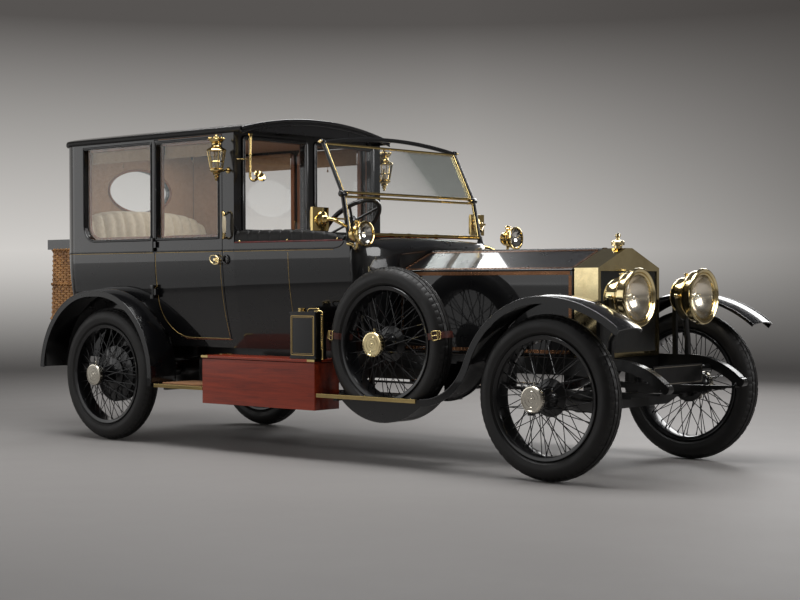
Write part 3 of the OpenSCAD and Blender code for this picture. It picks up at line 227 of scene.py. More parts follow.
def polished_metal(name, bright, deep, rough=0.07, spots=0.35):
    """A turned and polished metal that has dulled a little in patches."""
    f = Finish(name, Metallic=1.0)
    tarnish = f.ramp(f.noise(6, 6, 0.6), 0.42, 0.8)
    fleck = f.ramp(f.noise(85, 5, 0.7), 0.5, 0.85)
    f.feed("Base Color", f.mix(tarnish * 0.5 + fleck * spots * 0.5, rgb(bright), rgb(deep)))
    f.feed("Roughness", rough + tarnish * 0.1 + fleck * 0.06)
    f.bump(f.noise(300, 3, place=f.stretched((1, 1, 6))), 0.03, 0.0004)
    return f.material


def tyre_rubber():
    f = Finish("tyre_rubber", Specular_IOR_Level=0.4)
    dust = f.ramp(f.noise(11, 6, 0.65), 0.4, 0.8)
    f.feed("Base Color", f.mix(dust * 0.7, rgb("100f0f"), rgb("211f1d")))
    f.feed("Roughness", 0.46 + dust * 0.26)
    f.bump(f.noise(500, 4), 0.12, 0.0008)
    return f.material


def mahogany(name="mahogany", dark="5a1507", light="ae3e1c", along=(1, 14, 14)):
    """Varnished wood with its grain along the axis whose factor is least."""
    f = Finish(name, Coat_Weight=0.45, Coat_Roughness=0.1, Specular_IOR_Level=0.35)

    def grain(with_it, across):
        return f.stretched(tuple(a * (with_it if a == min(along) else across) for a in along))

    figure = f.noise(2.1, 5, 0.55, grain(1, 1), 0.8)
    streak = f.noise(26, 5, 0.6, grain(0.25, 1))
    pores = f.ramp(f.noise(150, 2, 0.5, grain(0.12, 0.6)), 0.6, 0.7)
    tone = f.mix(f.ramp(figure * 0.7 + streak * 0.45, 0.32, 0.85), rgb(dark), rgb(light))
    f.feed("Base Color", f.mix(pores * 0.5, tone, rgb("1d0803")))
    f.feed("Roughness", 0.32 + streak * 0.16)
    f.bump(streak - pores * 0.4, 0.08, 0.0007)
    return f.material


def leather(name, colour, worn, rough=0.36, shine=0.5):
    f = Finish(name, Coat_Weight=0.3 * shine, Coat_Roughness=0.3, Specular_IOR_Level=shine)
    grain = f.cells(330, "DISTANCE_TO_EDGE")
    crease = f.noise(24, 5, 0.6)
    f.feed("Base Color", f.mix(f.ramp(crease, 0.4, 0.8), rgb(colour), rgb(worn)))
    f.feed("Roughness", rough + crease * 0.18)
    f.bump(f.ramp(grain, 0.0, 0.12) + crease * 0.6, 0.28, 0.0012)
    return f.material


def woven_cloth(name, light, dark, threads=900):
    """A fine plain weave with a soft nap."""
    f = Finish(name, Sheen_Weight=0.25, Sheen_Roughness=0.5)
    warp = f.wave(threads, "Z")
    weft = f.wave(threads, "X") * f.wave(threads, "Y")
    slub = f.noise(38, 4, 0.6)
    f.feed("Base Color", f.mix(f.ramp(slub, 0.3, 0.8) * 0.6 + warp * 0.18, rgb(light), rgb(dark)))
    f.feed("Roughness", 0.88 + slub * 0.08)
    f.bump(warp + weft + slub, 0.25, 0.0008)
    return f.material


def wicker_cane():
    f = Finish("wicker_cane", Coat_Weight=0.2, Coat_Roughness=0.35)
    strand = f.noise(46, 3)
    age = f.noise(9, 4)
    tone = f.mix(f.ramp(strand, 0.3, 0.7), rgb("8a5628"), rgb("cf9a5a"))
    f.feed("Base Color", f.mix(f.ramp(age, 0.45, 0.8) * 0.55, tone, rgb("4a2810")))
    f.feed("Roughness", 0.45 + strand * 0.2)
    f.bump(f.noise(320, 3), 0.25, 0.001)
    return f.material


def clear_glass(name="clear_glass", tint="f2f7f4", base=0.02):
    """A pane: clear when seen straight on, a mirror at a glancing angle."""
    f = Finish(name, Metallic=1.0, Base_Color=rgb(tint), IOR=1.5)
    facing = f.node("ShaderNodeLayerWeight", {}, {"Blend": 0.16}, out="Fresnel")
    smear = f.noise(5, 4)
    f.feed("Roughness", 0.01 + smear * 0.03)
    f.feed("Alpha", base + facing * 0.8)
    f.material.surface_render_method = "BLENDED"
    return f.material


def core_fins():
    f = Finish("radiator_fins", Metallic=0.4)
    rib = f.wave(60, "Y", profile="SAW")
    tube = f.wave(60, "Z")
    f.feed("Base Color", f.mix(rib, rgb("040404"), rgb("0f0e0c")))
    f.feed("Roughness", 0.4 + f.noise(60, 3) * 0.3)
    f.bump(rib + tube * 0.6, 0.6, 0.004)
    return f.material


def cast_iron(name, colour, spot):
    f = Finish(name, Metallic=0.5)
    f.feed("Base Color", f.mix(f.ramp(f.noise(8, 6, 0.6), 0.35, 0.75), rgb(colour), rgb(spot)))
    f.feed("Roughness", 0.5 + f.noise(40, 4) * 0.25)
    f.bump(f.noise(130, 5), 0.3, 0.0015)
    return f.material


def coir_mat():
    f = Finish("coir_mat", Sheen_Weight=0.2)
    rib = f.wave(75, "X")
    fibre = f.noise(420, 4, 0.7)
    f.feed("Base Color", f.mix(f.ramp(fibre, 0.3, 0.75), rgb("6b4220"), rgb("b07a42")))
    f.feed("Roughness", 0.85 + fibre * 0.1)
    f.bump(rib * 0.6 + fibre, 0.6, 0.003)
    return f.material


def studio_ground():
    """A pale floor that turns into a backdrop with its own soft glow, brightest at the car's height."""
    f = Finish("studio_ground", IOR=1.3)
    f.feed("Base Color", f.mix(f.noise(0.6, 3) * 0.3, rgb("8c8987"), rgb("83807e")))
    f.feed("Roughness", 0.55 + f.noise(3, 3) * 0.12)
    camera, glossy, passing = (f.node("ShaderNodeLightPath", out=ray) for ray in (
        "Is Camera Ray", "Is Glossy Ray", "Is Transmission Ray"))
    along, across, height = (f.node("ShaderNodeSeparateXYZ", {}, {0: f.where}, out=axis) for axis in "XYZ")
    glow = f.mix(f.ramp(height, 1.2, 4.8), rgb("d6d3cf"), rgb("565351"))
    glow = f.mix(f.ramp(along * 0.77 + across * 0.64, 1.0, 7.0) * 0.82, glow, rgb("3f3c3a"))
    glow = f.mix(f.ramp(across * -1, 3.0, 9.0) * 0.85, glow, rgb("24221f"))
    wall = f.node("ShaderNodeEmission", {}, {"Color": glow})
    seen = (camera + glossy + passing) * f.ramp(height, 0.02, 1.5)
    mixed = f.node("ShaderNodeMixShader", {}, {0: seen, 1: Value(f, f.shader.outputs[0]), 2: wall})
    # seen from outside, the backdrop lets the camera look in
    outside = f.node("ShaderNodeNewGeometry", out="Backfacing") * camera
    open_side = f.node("ShaderNodeBsdfTransparent")
    mixed = f.node("ShaderNodeMixShader", {}, {0: outside, 1: mixed, 2: open_side})
    f.tree.links.new(mixed.socket, f.tree.nodes["Material Output"].inputs["Surface"])
    f.material.cycles.emission_sampling = "NONE"
    return f.material


PAINT = coach_paint("coach_paint")
ROOF_PAINT = coach_paint("roof_paint", "08080a", "121214")
ENAMEL = wheel_enamel()
CHASSIS = satin_black("chassis_black")
BRASS = polished_metal("polished_brass", "ead08f", "8f6c34")
PALE_BRASS = polished_metal("pale_brass", "f2e0ae", "a98a50", 0.07)
COPPER = polished_metal("riveted_copper", "7d5940", "37241a", 0.26)
GILT = polished_metal("gilt_line", "c4a86e", "84683a", 0.28)
NICKEL = polished_metal("dull_nickel", "d8d2c4", "8f8674", 0.16)
SILVER = polished_metal("lamp_silver", "f6f4ee", "d6d0c2", 0.05, 0.1)
REFLECTOR = polished_metal("lamp_reflector", "fff6e4", "eadfc6", 0.2, 0.1)
RUBBER = tyre_rubber()
MAHOGANY = mahogany()
WOOD_TRIM = mahogany("window_wood", "4a1f0b", "a3602c", (14, 14, 1))
BLACK_LEATHER = leather("black_leather", "070606", "110f0d", 0.34, 0.22)
STRAP_LEATHER = leather("strap_leather", "3a1309", "6b2a16", 0.45)
RED_LEATHER = leather("red_piping", "4a0d0a", "7a1a14", 0.4)
CREAM_CLOTH = woven_cloth("cream_cloth", "e0d3ba", "bfac8c")
BLIND_CLOTH = woven_cloth("blind_silk", "a98d70", "82664b", 1200)
LINING = woven_cloth("head_lining", "b18a68", "876548", 700)
CANE = wicker_cane()
CANE_DARK = leather("basket_lining", "2a1a0e", "4a3018", 0.7)
GLASS = clear_glass()
LENS = clear_glass("lamp_lens", "fbfaf2", 0.06)
LENS_MILK = clear_glass("lamp_bulb", "fffdf2", 0.55)
LANTERN_GLASS = clear_glass("lantern_glass", "f6f4ec", 0.16)
FINS = core_fins()
IRON = cast_iron("engine_iron", "3a3b3d", "55524c")
STEEL = cast_iron("exhaust_steel", "4a3a30", "2c221c")
MAT = coir_mat()
IVORY = leather("ivory_grip", "d9ccb0", "b7a684", 0.3)

NODE_FINISHES = (
    (PAINT, ("body_front", "body_rear", "division", "door_rear_right", "door_rear_left",
             "door_front_left", "bonnet_top_right", "bonnet_top_left", "bonnet_side_right",
             "bonnet_side_left", "front_fenders", "rear_fenders", "running_boards", "trunk_lid")),
    (ROOF_PAINT, ("roof",)),
    (PALE_BRASS, ("radiator_shell", "radiator_cap")),
    (BRASS, ("mirrors",)),
    (CHASSIS, ("frame", "front_axle", "rear_axle", "springs", "luggage_rack", "knuckle_right", "knuckle_left",
               "track_rod", "steering_column", "number_plate")),
    (COPPER, ("bonnet_spine",)),
    (GLASS, ("window_glass", "windscreen_glass", "door_glass_right", "door_glass_left")),
    (FINS, ("radiator_core",)),
    (IRON, ("engine",)),
    (STEEL, ("exhaust",)),
    (MAHOGANY, ("floor",)),
    (ENAMEL, ("steering_wheel",)),
)
for finish, nodes in NODE_FINISHES:
    for node in nodes:
        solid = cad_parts[node]
        solid.data.materials.clear()
        solid.data.materials.append(finish)


# Shapes


class Shape:
    """The faces of one piece, in millimetres in the car's frame."""

    def __init__(self):
        self.points = []
        self.faces = []

    def add(self, points, faces, place=None):
        start = len(self.points)
        place = place or Matrix()
        self.points += [place @ Vector(p) for p in points]
        self.faces += [[start + i for i in face] for face in faces]

    def grid(self, rows, wrap=False, closed=False, place=None):
        """Rows of points as quads; wrap joins the last row to the first, closed each row's own ends."""
        n = len(rows[0])
        faces = []
        for i in range(len(rows) - (not wrap)):
            j = (i + 1) % len(rows)
            for k in range(n - (not closed)):
                m = (k + 1) % n
                faces.append((i * n + k, i * n + m, j * n + m, j * n + k))
        self.add([p for row in rows for p in row], faces, place)

    def lathe(self, profile, place=None, steps=64, closed=False):
        """A profile of (radius, height) turned about Z."""
        rows = [[(r * cos(a), r * sin(a), z) for r, z in profile] for a in round_turn(steps)]
        self.grid(rows, True, closed, place)

    def sweep(self, path, section, up=(0, 0, 1), closed=False, place=None):
        """A section of (aside, up) points carried along a path."""
        path = [Vector(p) for p in path]
        rows = []
        for i, p in enumerate(path):
            before = path[i - 1] if i or closed else p
            after = path[(i + 1) % len(path)] if i + 1 < len(path) or closed else p
            along = (after - before).normalized()
            aside = along.cross(Vector(up)).normalized()
            over = aside.cross(along)
            rows.append([p + aside * s + over * u for s, u in section])
        self.rows(rows, closed, place)

    def tube(self, path, radius, sides=10, closed=False, place=None):
        """A round bar along a path; radius is one number or one for each point."""
        path = [Vector(p) for p in path]
        radii = radius if hasattr(radius, "__len__") else [radius] * len(path)
        aside = None
        rows = []
        for i, p in enumerate(path):
            before = path[i - 1] if i or closed else p
            after = path[(i + 1) % len(path)] if i + 1 < len(path) or closed else p
            along = (after - before).normalized()
            aside = along.orthogonal() if aside is None else aside - along * aside.dot(along)
            aside.normalize()
            over = along.cross(aside)
            rows.append([p + (aside * cos(a) + over * sin(a)) * radii[i] for a in round_turn(sides)])
        self.rows(rows, closed, place)

    def rows(self, rows, closed=False, place=None):
        """Rows of points as a closed skin, with its two ends filled unless it runs round."""
        n = len(rows[0])
        self.grid(rows, closed, True, place)
        if not closed:
            self.add(rows[0], [list(range(n))], place)
            self.add(rows[-1], [list(range(n))], place)

    def block(self, low, high):
        x, y, z = zip(low, high)
        points = [(x[i], y[j], z[k]) for i in (0, 1) for j in (0, 1) for k in (0, 1)]
        faces = [(0, 1, 3, 2), (4, 6, 7, 5), (0, 4, 5, 1), (2, 3, 7, 6), (0, 2, 6, 4), (1, 5, 7, 3)]
        self.add(points, faces)

    def plate(self, outline, depth, place=None):
        """A flat outline in X and Y with a thickness along Z."""
        n = len(outline)
        points = [(x, y, z) for z in (0, depth) for x, y in outline]
        sides = [(i, (i + 1) % n, n + (i + 1) % n, n + i) for i in range(n)]
        self.add(points, [list(range(n)), list(range(n, 2 * n)), *sides], place)

    def domes(self, places, radius, height, up):
        """Rivet heads: low eight-sided domes whose tops point along up."""
        turn = Vector((0, 0, 1)).rotation_difference(Vector(up)).to_matrix().to_4x4()
        profile = [(radius, -0.5), (radius, height * 0.3), (radius * 0.6, height * 0.85), (0, height)]
        for p in places:
            self.lathe(profile, Matrix.Translation(p) @ turn, 8)

    def make(self, name, finish, body="chassis", stands_for=(), soft=38, bevel=0.0, slot=None):
        mesh = bpy.data.meshes.new(name)
        mesh.from_pydata([p * MM for p in self.points], [], self.faces)
        work = bmesh.new()
        work.from_mesh(mesh)
        bmesh.ops.remove_doubles(work, verts=work.verts, dist=2e-6)
        bmesh.ops.recalc_face_normals(work, faces=work.faces)
        work.to_mesh(mesh)
        work.free()
        mesh.shade_smooth()
        mesh.set_sharp_from_angle(angle=radians(soft))
        mesh.materials.append(finish)
        piece = bpy.data.objects.new(name, mesh)
        bpy.context.scene.collection.objects.link(piece)
        if bevel:
            soften(piece, bevel)
        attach(piece, body)
        if stands_for:
            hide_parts(*stands_for)
        return piece


def soften(piece, width):
    """Rounds the sharp edges of a piece a little."""
    edge = piece.modifiers.new("soft_edges", "BEVEL")
    edge.width = width * MM
    edge.segments = 2
    edge.limit_method = "ANGLE"
    edge.angle_limit = radians(38)
    edge.harden_normals = True


def arc(centre, radius, start, end, steps=16):
    """Points of an arc in a plane, angles in degrees."""
    turns = [radians(start + (end - start) * i / steps) for i in range(steps + 1)]
    return [(centre[0] + radius * cos(a), centre[1] + radius * sin(a)) for a in turns]


def round_box(low, high, radius, steps=6):
    """Outline of a rectangle with round corners."""
    (x0, y0), (x1, y1) = low, high
    corners = (((x1 - radius, y1 - radius), 0), ((x0 + radius, y1 - radius), 90),
               ((x0 + radius, y0 + radius), 180), ((x1 - radius, y0 + radius), 270))
    return [p for centre, start in corners for p in arc(centre, radius, start, start + 90, steps)]


def tuck(z):
    """How far the body's side stands inside its belt at a height."""
    r = ((BELT - SILL) ** 2 + TUCK ** 2) / (2 * TUCK)
    return 0 if z >= BELT else r - sqrt(r * r - (BELT - z) ** 2)


def skin(side, x, z, out=0.0):
    """A point on the body's outer skin, on the right (-1) or left (1) side."""
    narrow = max(0.0, x - DIVISION) * (HALF - FRONT_HALF) / (SCUTTLE_BACK - DIVISION)
    return Vector((x, side * (HALF - tuck(z) - narrow + out), z))


def bead(width, height):
    """A half-round section that stands on a surface."""
    half = width / 2
    over = [(-half * cos(a), height * sin(a)) for a in (pi * i / 5 for i in range(6))]
    return [(-half, -1.0), *over, (half, -1.0)]


# Wheels

TYRE_RING, TYRE_HALF = 380.0, 67.5      # middle radius and half thickness of a tyre
SPOKES = 30
WHEEL_NAMES = ("front_right", "front_left", "rear_right", "rear_left")


def wheel_place(node):
    """Where a wheel stands, with its outer side along Z."""
    centre = middle(node)
    return Matrix.Translation(centre) @ turned(90 if centre.y < 0 else -90, "X")


def tyre_shape(place):
    """A beaded-edge tyre with three grooved ribs and notched shoulders."""
    steps = 264
    groove, notch, flank = 4.0, 3.0, 1.6
    half = [148.7, 132, 118, 114, 110, 96, 82, 68, 58, 50, 49, 40, 31, 30, 27, 26, 19, 12, 11, 8, 7, 0]
    angles = [-a for a in half] + half[-2::-1]
    shape = Shape()
    rows = []
    for i in range(steps):
        turn = 2 * pi * i / steps
        row = []
        for a in angles:
            b = abs(a)
            deep = 0.0
            if 27 <= b <= 30 or 8 <= b <= 11:
                deep = groove
            elif 31 <= b <= 49 and (i + (2 if a < 0 else 0)) % 4 == 0:
                deep = notch
            elif 12 <= b <= 26 and (i + (3 if a < 0 else 0)) % 6 == 0:
                deep = notch
            r = TYRE_HALF - deep - (flank if 96 < b < 140 and b != 114 else 0.0)
            ring = TYRE_RING + r * cos(radians(a))
            row.append((ring * cos(turn), ring * sin(turn), r * sin(radians(a))))
        rows.append(row)
    shape.grid(rows, True, True, place)
    return shape


def wheel_shape(place, drum):
    """Rim, hub, two laced rows of spokes with their nipples, and a brake drum where there is one."""
    shape = Shape()
    shape.lathe([(309, -40), (309, 40), (313, 52), (322, 57), (333, 59), (336, 56), (333, 52.5), (326, 51),
                 (321.5, 45), (321.5, -45), (326, -51), (333, -52.5), (336, -56), (333, -59), (322, -57),
                 (313, -52)], place, 96, True)
    shape.lathe([(0, -18), (96, -18), (104, -16), (104, -9), (96, -6), (64, 6), (54, 24), (50, 92), (58, 108),
                 (67, 112), (67, 122), (58, 127), (46, 130), (46, 142), (0, 142)], place, 48)
    for radius, height, rim, lean, turn in ((62, 117, 20, 24, 0.0), (99, -12, -20, 30, 0.5)):
        for i in range(SPOKES):
            a = 2 * pi * (i + turn) / SPOKES
            b = a + radians(lean if i % 2 else -lean)
            foot = Vector((radius * cos(a), radius * sin(a), height + (2 if i % 2 else -2)))
            head = Vector((310 * cos(b), 310 * sin(b), rim))
            shape.tube((foot, head), 2.6, 6, place=place)
            shape.tube((head + (foot - head) * 0.07, head), (3.2, 4.8), 6, place=place)
    if drum:
        shape.lathe([(40, -20), (180, -20), (190, -26), (190, -44), (186, -47), (190, -50), (190, -90),
                     (178, -90), (178, -30), (40, -30)], place, 72, True)
    return shape


def hub_cap(place):
    """A turned cap with a stepped face, a grip ring and its lock lever."""
    shape = Shape()
    shape.lathe([(46, 126), (62, 130), (70, 137), (71, 141), (71, 157), (68, 161.5), (62, 163), (60, 161),
                 (45, 161), (43.5, 162.2), (41, 162.2), (39.5, 161), (24, 161), (22.5, 162), (20, 162),
                 (18.5, 161), (8, 161), (6.5, 163.2), (0, 164)], place, 72)
    for a in round_turn(24):
        shape.lathe([(3, 140), (3, 158), (0, 158)], place @ shift(70.2 * cos(a), 70.2 * sin(a), 0), 8)
    shape.tube(((0, 66, 133), (0, 84, 133)), 6, 12, place=place)
    shape.tube(((0, 84, 133), (0, 92, 133)), (8, 5), 12, place=place)
    return shape


def wheels():
    for name in (*WHEEL_NAMES, "spare"):
        spare = name == "spare"
        tyre, wheel = ("spare_tyre", "spare_wheel") if spare else ("tyre_" + name, "wheel_" + name)
        body = "chassis" if spare else name + "_wheel"
        place = wheel_place(tyre)
        tyre_shape(place).make(name + "_tread_tyre", RUBBER, body, (tyre,), soft=30, slot="tyre_rubber")
        wheel_shape(place, name.startswith("rear")).make(
            name + "_laced_wheel", ENAMEL, body, (wheel,), slot="wheel_enamel")
        hub_cap(place).make(name + "_hub_cap", PALE_BRASS if spare else NICKEL, body, soft=30)


wheels()


# Trim that follows the CAD surfaces


class Surface:
    """The faces of some CAD nodes, which trim is laid on."""

    def __init__(self, *nodes):
        points, faces = [], []
        for node in nodes:
            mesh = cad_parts[node].data
            start = len(points)
            points += [v.co / MM for v in mesh.vertices]
            faces += [[start + i for i in p.vertices] for p in mesh.polygons]
        self.tree = BVHTree.FromPolygons(points, faces)

    def lay(self, points, look):
        """Points moved along look until they lie on the surface."""
        look = Vector(look).normalized()
        laid = []
        for p in points:
            hit = self.tree.ray_cast(Vector(p) - look * 400, look)[0]
            laid.append(hit if hit else Vector(p))
        return laid


def stretch(start, end, step=40.0):
    """Points along a straight line, about a step apart."""
    start, end = Vector(start), Vector(end)
    count = max(2, round((end - start).length / step))
    return [start.lerp(end, i / count) for i in range(count + 1)]


def joined(*runs):
    """Runs of points in one list, without doubled ends."""
    path = []
    for run in runs:
        for p in run:
            if not path or (Vector(p) - Vector(path[-1])).length > 0.5:
                path.append(Vector(p))
    return path


def on_side(side, outline):
    """An outline of (x, z) points, set beside the car on one side."""
    return [Vector((x, side * HALF, z)) for x, z in outline]


# Scuttle

SCUTTLE_TOP = 1340
BONNET_HALF = 322
SHOULDER, RIDGE = 1132, 1260


def scuttle_section(half, top, shoulder, corner, tucked):
    """One half of the scuttle's section, from the sill up to the middle."""
    side = [(half - tucked * tuck(z), z) for z in [SILL + (shoulder - SILL) * i / 12 for i in range(13)]]
    turn = [(half - corner + corner * cos(a), shoulder + sin(a) * (top - shoulder) * 0.8)
            for a in (pi / 2 * i / 8 for i in range(1, 9))]
    end_y, end_z = turn[-1]
    crown = [(end_y * (1 - i / 10), end_z + (top - end_z) * sin(pi / 2 * i / 10)) for i in range(1, 11)]
    return side + turn + crown


def scuttle():
    """The cowl that swells from the bonnet's section to the body's."""
    front = scuttle_section(BONNET_HALF + 6, RIDGE, SHOULDER - 8, 12, 0.0)
    back = scuttle_section(FRONT_HALF, SCUTTLE_TOP, 1240, 70, 1.0)
    # the front's top is two flat slopes, so its crown runs straight
    peak = len(front) - 10
    y0, z0 = front[peak - 1]
    front[peak:] = [(y0 * (1 - i / 10), z0 + (RIDGE - z0) * i / 10) for i in range(1, 11)]
    rows = []
    steps = 14
    for i in range(steps + 1):
        turn = pi / 2 * i / steps
        grow, x = sin(turn), DASH - (DASH - SCUTTLE_BACK) * (1 - cos(turn))
        half = [(a[0] + (b[0] - a[0]) * grow, a[1] + (b[1] - a[1]) * grow) for a, b in zip(front, back)]
        rows.append([(x, -y, z) for y, z in half] + [(x, y, z) for y, z in reversed(half[:-1])])
    shape = Shape()
    shape.grid(rows)
    cowl = shape.make("scuttle_cowl", PAINT, stands_for=("scuttle",), soft=60, slot="body_paint")
    shell = cowl.modifiers.new("thickness", "SOLIDIFY")
    shell.thickness = 5 * MM
    shell.offset = -1
    wall = Shape()
    outline = front + [(-y, z) for y, z in reversed(front[:-1])]
    turn = Matrix(((0, 0, 1, DASH - 14), (1, 0, 0, 0), (0, 1, 0, 0), (0, 0, 0, 1)))
    wall.plate(outline, 12, turn)
    wall.make("fire_wall", CHASSIS, bevel=1.0)


# Windscreen

SCREEN = ((SCUTTLE_BACK - 18, 1318), (SCUTTLE_BACK - 75, 1599), (SCUTTLE_BACK - 237, 1920))
SCREEN_HALF = 636
HEAD_RADIUS, HEAD_RISE = 4000, 46


def screen_point(at, y):
    """A point on the windscreen: at runs from 0 at the foot to 1 at the fold and 2 at the top."""
    i = min(int(at), 1)
    (x0, z0), (x1, z1) = SCREEN[i], SCREEN[i + 1]
    return Vector((x0 + (x1 - x0) * (at - i), y, z0 + (z1 - z0) * (at - i)))


def windscreen():
    black, brass = Shape(), Shape()
    for side, _ in SIDES:
        y = side * SCREEN_HALF
        black.tube([screen_point(a, y) for a in (0.0, 0.5, 0.97)], 13, 14)
        black.tube([screen_point(a, y) for a in (1.03, 1.5, 2.0)], 11, 14)
        knuckle = Matrix.Translation(screen_point(1, y)) @ turned(-90 * side, "X")
        black.lathe([(0, -24), (15, -24), (20, -20), (20, 16), (16, 21), (8, 23), (0, 24)], knuckle, 24)
        foot = Matrix.Translation(screen_point(0.02, y))
        black.lathe([(0, -14), (24, -14), (26, -8), (20, 6), (15, 26), (13, 40)], foot, 24)
        top = Matrix.Translation(screen_point(2, y)) @ turned(-90 * side, "X")
        black.lathe([(0, -14), (14, -14), (16, -10), (16, 10), (12, 14), (0, 15)], top, 20)
        # wing nuts that hold the panes' angle
        for at, reach in ((1, -30), (2, 17)):
            nut = Matrix.Translation(screen_point(at, y)) @ turned(-90 * side, "X")
            low, high = sorted((reach, reach + (10 if reach > 0 else -10)))
            brass.lathe([(0, low), (9, low), (10, (low + high) / 2), (7, high), (0, high)], nut, 16)
            for turn in (0, pi):
                tip = [(cos(turn) * r, sin(turn) * r, (low + high) / 2) for r in (6, 14, 20)]
                brass.tube(tip, (3.5, 4.5, 3.5), 8, place=nut)
        # a pane's frame beside the post
        for lower, upper in ((0.16, 0.96), (1.04, 1.97)):
            brass.tube([screen_point(a, y - side * 19) for a in (lower, upper)], 6, 10)
    reach = SCREEN_HALF - 10
    for at, radius in ((0.13, 13), (0.94, 8), (1.03, 9), (1.97, 8)):
        brass.tube([screen_point(at, y) for y in (-reach, 0, reach)], radius, 14)
    for y in (-250, -80, 190):
        brass.tube([screen_point(0.13, y + d) for d in (-14, 14)], 15, 14)
    head = []
    for i in range(25):
        y = SCREEN_HALF * (i / 12 - 1)
        sag = HEAD_RADIUS - sqrt(HEAD_RADIUS ** 2 - y * y)
        head.append((SCREEN[2][0], y, SCREEN[2][1] + HEAD_RISE - sag))
    black.sweep(head, [(-9, -12), (9, -12), (11, -6), (11, 8), (7, 12), (-7, 12), (-11, 8), (-11, -6)])
    black.make("windscreen_posts", ENAMEL, stands_for=("windscreen_frame",), soft=40)
    brass.make("windscreen_brass", BRASS, soft=40)


# Lamps

LAMP_FACE = span("headlamps")[1].x
LAMP_SIDE, LAMP_HEIGHT = 340, 980
DRUM_MIDDLE, FORK_RADIUS = 122, 122     # the drum's middle behind the lamp's face, and the iron round it
SIDE_LAMP_OUT, SIDE_LAMP_HEIGHT = 735, 1349
MIRROR_Y, MIRROR_Z = (690, 830), (1375, 1515)
LANTERN_X, LANTERN_OUT, LANTERN_LOW = DIVISION - 50, 800, 1707


def facing_forward(x, y, z):
    """A place whose Z looks along the car's +X."""
    return Matrix.Translation((x, y, z)) @ turned(90, "Y")


def headlamps():
    brass, mirror, glass, bulb, iron = Shape(), Shape(), Shape(), Shape(), Shape()
    for side, _ in SIDES:
        place = facing_forward(LAMP_FACE, side * LAMP_SIDE, LAMP_HEIGHT)
        brass.lathe([
            (121, -22), (124, -12), (131, -9), (134, -13), (137, -13), (139, -7), (147, -4), (152, -1),
            (157, -2), (160, -7), (160, -14), (156, -18), (152, -20), (151, -26), (149, -52), (146, -64),
            (140, -71), (128, -77), (116, -82), (111, -87), (110, -94), (113, -97), (113, -103),
            (110, -106), (109, -140), (104, -160), (92, -176), (74, -187), (50, -193), (26, -195),
            (0, -196)], place, 96)
        mirror.lathe([(121, -22), (112, -34), (98, -50), (80, -66), (60, -78), (38, -86), (16, -90),
                      (0, -91)], place, 64)
        glass.lathe([(126, -13), (110, -8.5), (80, -4.5), (45, -2.4), (0, -1.6)], place, 64)
        bulb.lathe([(0, -90), (16, -90), (16, -78), (12, -74), (20, -64), (22, -54), (17, -44), (9, -38),
                    (0, -36)], place, 24)
        # the burner's knob and the lid's hinge
        knob = shift(LAMP_FACE - DRUM_MIDDLE, side * LAMP_SIDE, LAMP_HEIGHT)
        for turn in (-90, 90, 0):
            brass.lathe([(13, 102), (13, 112), (8, 116), (8, 121), (13, 124), (14, 130), (9, 134), (0, 135)],
                        knob @ turned(turn, "X"), 24)
        brass.tube([(LAMP_FACE - 30, side * (LAMP_SIDE - 40), LAMP_HEIGHT - 150),
                    (LAMP_FACE - 30, side * (LAMP_SIDE + 40), LAMP_HEIGHT - 150)], 7, 12)
        # a forked iron under the drum, on a post from the rail
        fork = [(LAMP_FACE - DRUM_MIDDLE, side * LAMP_SIDE + FORK_RADIUS * cos(a),
                 LAMP_HEIGHT + FORK_RADIUS * sin(a))
                for a in (pi + pi * i / 20 for i in range(21))]
        iron.sweep(fork, [(-17, -5), (17, -5), (17, 5), (-17, 5)], (1, 0, 0))
        post = ((DRUM_MIDDLE, 0, LAMP_HEIGHT - 118), (128, 0, 840), (140, 30, 790), (150, 60, 740),
                (150, 60, 600))
        iron.tube([(LAMP_FACE - behind, side * (LAMP_SIDE + out), z) for behind, out, z in post],
                  (17, 17, 17, 17, 20), 14)
    brass.make("headlamp_shells", PALE_BRASS, stands_for=("headlamps",), soft=40)
    mirror.make("headlamp_mirrors", REFLECTOR, soft=60)
    glass.make("headlamp_lenses", LENS, stands_for=("lamp_glass",), soft=60)
    bulb.make("headlamp_bulbs", LENS_MILK, soft=60)
    iron.make("headlamp_irons", CHASSIS, bevel=1.5)


